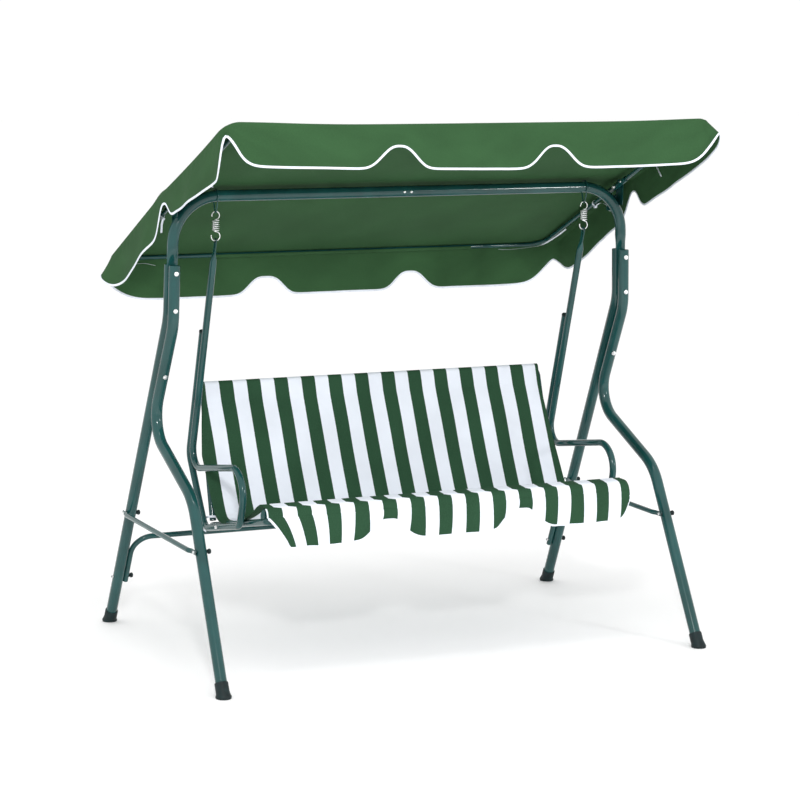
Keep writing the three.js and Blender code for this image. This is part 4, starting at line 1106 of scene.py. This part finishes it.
def make_canopy_cover():
    """One sheet on a square grid: its rings become rings of the top, and past the seam the valance's drop."""
    cells_x, cells_y, share_top = 260, 184, 0.70
    a, b = np.meshgrid(np.linspace(-1, 1, cells_x + 1), np.linspace(-1, 1, cells_y + 1))
    ring = np.maximum(np.maximum(np.abs(a), np.abs(b)), 1e-9)
    side_index = np.where(np.abs(b) >= np.abs(a), np.where(b < 0, FRONT, REAR), np.where(a > 0, RIGHT, LEFT))
    x, y, nx, ny, gap = rim(side_index, np.where(side_index % 2 == 0, a, b) / ring)
    inward = np.clip(ring / share_top, 0, 1)
    drop = np.clip((ring - share_top) / (1 - share_top), 0, 1)
    folds = 0.0030 * np.sin(17 * x + 13 * y + 0.5) + 0.0020 * np.sin(31 * x - 27 * y + 1.1) \
        + 0.0012 * np.sin(61 * x + 47 * y)
    gathers = 0.0006 * np.sin(150 * x + 170 * y) * np.exp(-((drop - 0.12) / 0.12) ** 2)
    corner = np.exp(-(gap / 0.07) ** 2) * drop
    flare_x = np.where(y > 0, np.where(x < 0, -0.030, 0.012), np.where(x < 0, 0.0, 0.024)) * corner
    flare_y = np.where(y > 0, np.where(x < 0, 0.022, 0.012), np.where(x < 0, 0.0, -0.020)) * corner
    out = drop * (folds + 0.004) + gathers * (drop > 0)
    top_x, top_y = x * inward, y * inward
    ripple = 0.0012 * np.sin(38 * top_x + 9 * top_y) * np.sin(11 * top_y + 1.3) * (1 - inward ** 4)
    shoulder = 0.003 * np.clip((inward - 0.975) / 0.025, 0, 1) ** 2
    height = cover_height(top_x, top_y) + ripple - shoulder - drop * valance_depth(side_index, x, y, gap)
    grid = np.stack([top_x + nx * out + flare_x, top_y + ny * out + flare_y, height], axis=-1)
    uv = np.stack([a, b * 0.75], axis=-1)
    cover = make_object("canopy_cloth_cover", [(grid, False, False)], "green_canvas", "canopy", crease=180,
                        recalc=False, uv=uv)
    thicken(cover, CLOTH_THICKNESS)
    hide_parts("canopy_cover")
    border = np.concatenate([grid[0], grid[1:, -1], grid[-1, -2::-1], grid[-2:0:-1, 0]])
    piping = binding("canopy_binding", border, closed=True, body="canopy")
    pocket = make_bow_pocket()


def make_bow_pocket():
    """The pocket sewn under the cover round the middle of the rear bow: an arc of cloth, open at the top."""
    x = np.linspace(-0.455, 0.4925, 120)[:, None]
    angle = np.radians(np.linspace(165, 385, 24))[None, :]
    radius = BOW_R + 0.0022 + 0.0004 * np.sin(90 * x) + 0.0003 * np.sin(211 * x)
    centre = on_canopy(0, REAR_REACH)
    y, z = centre[1] + radius * np.cos(angle), centre[2] + radius * np.sin(angle)
    grid = np.stack(np.broadcast_arrays(x, y, z), axis=-1)
    uv = np.stack(np.broadcast_arrays(x, 0.01 * angle), axis=-1)
    pocket = make_object("rear_bow_pocket", [(grid, False, False)], "green_canvas", "canopy", crease=180,
                         recalc=False, uv=uv)
    thicken(pocket, 0.001)
    return pocket


def tape(name, points, width, body, facing=(0, 0, 1)):
    """A flat woven tape along a smooth line: a thin oval, its width as near to `facing` as it can be."""
    line, _ = evenly(smooth_line(points, 12), 48)
    rings = oval_rings(line, unit(np.gradient(line, axis=0)), facing, width / 2, 0.0005)
    return make_object(name, [(poled(rings, line), False, True)], "white_tape", body, crease=60)


TIE_FRONT, TIE_REAR = -0.256, 0.161  # places of the ties along the arms
TIE_BAND_WIDTH, TIE_TAPE_WIDTH, TIE_KNOT_R = 0.007, 0.009, 0.0045
LOOSE_ENDS = {  # steps back and up from each knot
    ("left", TIE_FRONT): [[(-0.020, -0.012), (-0.050, -0.045)]],
    ("left", TIE_REAR): [[(0.012, -0.020), (0.016, -0.046)]],
    ("right", TIE_FRONT): [[(-0.020, -0.012), (-0.052, -0.042)]],
    ("right", TIE_REAR): [[(-0.030, 0.014), (-0.070, 0.014), (-0.100, -0.006)], [(0.008, 0.004), (0.016, 0.014)]],
}
REAR_STRINGS = {  # lines of the thin strings near the rear bow's corners, and their widths
    "right": ([(0.600, 0.512, 1.202), (0.640, 0.512, 1.200), (0.700, 0.510, 1.204), (0.752, 0.480, 1.216),
               (0.766, 0.400, 1.252), (0.766, 0.330, 1.284)], 0.0045),
    "left": ([(-0.812, 0.430, 1.170), (-0.790, 0.470, 1.200), (-0.745, 0.505, 1.196), (-0.705, 0.508, 1.196),
              (-0.668, 0.508, 1.188)], 0.005),
}


def make_ties():
    """The tapes that tie the cover to its arms: a band round the arm, a knot under it and its loose ends."""
    round_arm = np.radians(np.linspace(0, 360, 9))[:, None]
    slope, lift = on_canopy(0, 1) - on_canopy(0, 0), on_canopy(0, 0, 1) - on_canopy(0, 0)
    slope[0] = lift[0] = 0
    for (label, along), ends in LOOSE_ENDS.items():
        place = "front" if along < 0 else "rear"
        centre = on_canopy(SIDES[label] * BOW_X, along)
        band = centre + (BOW_R + 0.0016) * (np.array([1.0, 0, 0]) * np.sin(round_arm) + lift * np.cos(round_arm))
        tape(f"tie_band_{place}_{label}", band, TIE_BAND_WIDTH, "canopy", facing=slope)
        knot = centre - lift * (BOW_R + 0.006)
        twist = np.linspace(0, 2 * math.pi, 9)[:, None]
        bow = knot + TIE_KNOT_R * (slope * np.cos(twist) + lift * np.sin(twist))
        tape(f"tie_knot_{place}_{label}", bow, TIE_TAPE_WIDTH, "canopy", facing=(1, 0, 0))
        for index, end in enumerate(ends):
            tail = [knot] + [knot + [0.002 * index, *step] for step in end]
            tape(f"tie_end_{index}_{place}_{label}", tail, TIE_TAPE_WIDTH, "canopy", facing=(0.9, 0.42, 0))
    for label, (line, width) in REAR_STRINGS.items():
        tape(f"tie_string_{label}", line, width, "canopy", facing=(0.3, -0.9, 0))


# ---------- stage ----------
CAMERA_PLACE = (-3.65, -7.79, 2.14)
CAMERA_TURN = (-25.04, 8.99, 0.75)  # azimuth, elevation and roll in degrees
CAMERA_LENS, CAMERA_SENSOR = 120.7, 36  # millimetres
WORLD_STRENGTH = 1.04


def add_at(name, data, back, place, roll=0.0):
    """An object whose local Z runs along `back` and whose X is level, then turned by `roll` about that Z."""
    right = unit(np.cross([0, 0, 1.0], back))
    up = np.cross(back, right)
    level = right * math.cos(roll) + up * math.sin(roll)
    upright = up * math.cos(roll) - right * math.sin(roll)
    item = bpy.data.objects.new(name, data)
    bpy.context.scene.collection.objects.link(item)
    item.matrix_world = Matrix((*zip(level, upright, back, place), (0, 0, 0, 1)))
    return item


def aim_light(name, place, target, power, size):
    light = bpy.data.lights.new(name, "AREA")
    light.energy, light.size = power, size
    add_at(name, light, unit(np.array(place, float) - target), place)


def make_camera():
    """Camera in front of the bench's left, looking slightly down, with a long lens."""
    azimuth, elevation, roll = np.radians(CAMERA_TURN)
    level = math.cos(elevation)
    back = np.array([math.sin(azimuth) * level, -math.cos(azimuth) * level, math.sin(elevation)])
    data = bpy.data.cameras.new("camera")
    data.lens, data.sensor_width = CAMERA_LENS, CAMERA_SENSOR
    bpy.context.scene.camera = add_at("camera", data, back, CAMERA_PLACE, roll)


def make_floor():
    """A wide level sheet just under the feet."""
    span = np.linspace(-30, 30, 13)
    x, y = np.meshgrid(span, span)
    sheet = np.stack([x, y, np.full_like(x, -0.0005)], axis=-1)
    floor = make_object("floor", [(sheet, False, False)], "powder_coated_steel", None, recalc=False)
    floor.data.materials[0] = studio_floor()


def make_lights():
    """A bright even surround with three soft lamps aimed at the middle of the bench."""
    world = bpy.data.worlds.new("studio")
    world.use_nodes = True
    background = world.node_tree.nodes["Background"]
    background.inputs["Color"].default_value = (1.0, 1.0, 1.0, 1)
    background.inputs["Strength"].default_value = WORLD_STRENGTH
    bpy.context.scene.world = world
    target = (0, 0, 0.8)
    aim_light("key", (-2.6, -5.2, 3.4), target, 120, 0.5)
    aim_light("fill", (3.2, -5.0, 2.2), target, 45, 0.45)
    aim_light("top", (-0.6, -1.2, 5.5), target, 40, 1.6)
    bpy.context.scene.view_settings.view_transform = "Standard"


# ---------- operators ----------
class SWING_OT_stage(bpy.types.Operator):
    """Add the camera, the floor and the studio lights"""

    bl_idname = "swing.stage"
    bl_label = "Stage"

    def execute(self, context):
        make_camera()
        make_floor()
        make_lights()
        return {"FINISHED"}


class SWING_OT_stand(bpy.types.Operator):
    """Build the legs, arch, braces, tie bar and foot caps"""

    bl_idname = "swing.stand"
    bl_label = "Stand"

    def execute(self, context):
        for label, side in SIDES.items():
            make_legs(side, label)
            make_arch(side, label)
            make_side_brace(side, label)
            make_foot_cap(side, -1, f"front_{label}")
            make_foot_cap(side, 1, f"rear_{label}")
        make_tie_bar()
        return {"FINISHED"}


class SWING_OT_fasteners(bpy.types.Operator):
    """Build the bolts, nuts, knobs and screws of the stand"""

    bl_idname = "swing.fasteners"
    bl_label = "Fasteners"

    def execute(self, context):
        for label, side in SIDES.items():
            make_stand_fasteners(side, label)
        make_arch_screws()
        return {"FINISHED"}


class SWING_OT_suspension(bpy.types.Operator):
    """Build the wire loops and the springs"""

    bl_idname = "swing.suspension"
    bl_label = "Suspension"

    def execute(self, context):
        for label, side in SIDES.items():
            make_wire_loop(side, label)
            make_spring(side, label)
        return {"FINISHED"}


class SWING_OT_bench(bpy.types.Operator):
    """Build the hangers, rails, seat tubes and their bolts"""

    bl_idname = "swing.bench"
    bl_label = "Bench frame"

    def execute(self, context):
        for label, side in SIDES.items():
            make_hanger(side, label)
            make_side_rail(side, label)
            make_bench_bolts(side, label)
        make_seat_tubes()
        return {"FINISHED"}


class SWING_OT_sling(bpy.types.Operator):
    """Build the striped sling and its binding"""

    bl_idname = "swing.sling"
    bl_label = "Sling"

    def execute(self, context):
        make_sling()
        return {"FINISHED"}


class SWING_OT_canopy(bpy.types.Operator):
    """Build the canopy's bows, sleeves, cover, binding and ties"""

    bl_idname = "swing.canopy"
    bl_label = "Canopy"

    def execute(self, context):
        make_canopy_tubes()
        make_canopy_cover()
        make_ties()
        return {"FINISHED"}


class SWING_OT_finishes(bpy.types.Operator):
    """Give the CAD nodes that stay in sight their finish"""

    bl_idname = "swing.finishes"
    bl_label = "CAD finishes"

    def execute(self, context):
        slots = {entry["node"]: entry["material_slot"] for entry in frame["record"]["subparts"]}
        for name, node in frame["nodes"].items():
            if not node.hide_render:
                node.data.materials.clear()
                node.data.materials.append(finish(slots[name]))
        return {"FINISHED"}


class SWING_PT_panel(bpy.types.Panel):
    """Lists the builders and their settings"""

    bl_idname = "SWING_PT_panel"
    bl_label = "Swing Bench"
    bl_space_type = "VIEW_3D"
    bl_region_type = "UI"
    bl_category = "Swing Bench"

    def draw(self, context):
        layout = self.layout
        for group in (context.scene.swing_sizes, context.scene.swing_colours):
            for name in group.__annotations__:
                layout.prop(group, name)
        for operator in OPERATORS:
            layout.operator(operator.bl_idname)


OPERATORS = (SWING_OT_stage, SWING_OT_stand, SWING_OT_fasteners, SWING_OT_suspension, SWING_OT_bench,
             SWING_OT_sling, SWING_OT_canopy, SWING_OT_finishes)
CLASSES = (SwingSizes, SwingColours, *OPERATORS, SWING_PT_panel)


def register():
    for cls in CLASSES:
        bpy.utils.register_class(cls)
    bpy.types.Scene.swing_sizes = bpy.props.PointerProperty(type=SwingSizes)
    bpy.types.Scene.swing_colours = bpy.props.PointerProperty(type=SwingColours)


def unregister():
    del bpy.types.Scene.swing_colours
    del bpy.types.Scene.swing_sizes
    for cls in reversed(CLASSES):
        bpy.utils.unregister_class(cls)


def main():
    """Registers the add-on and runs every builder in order."""
    register()
    for operator in OPERATORS:
        group, name = operator.bl_idname.split(".")
        getattr(getattr(bpy.ops, group), name)()


if __name__ == "__main__":
    main()
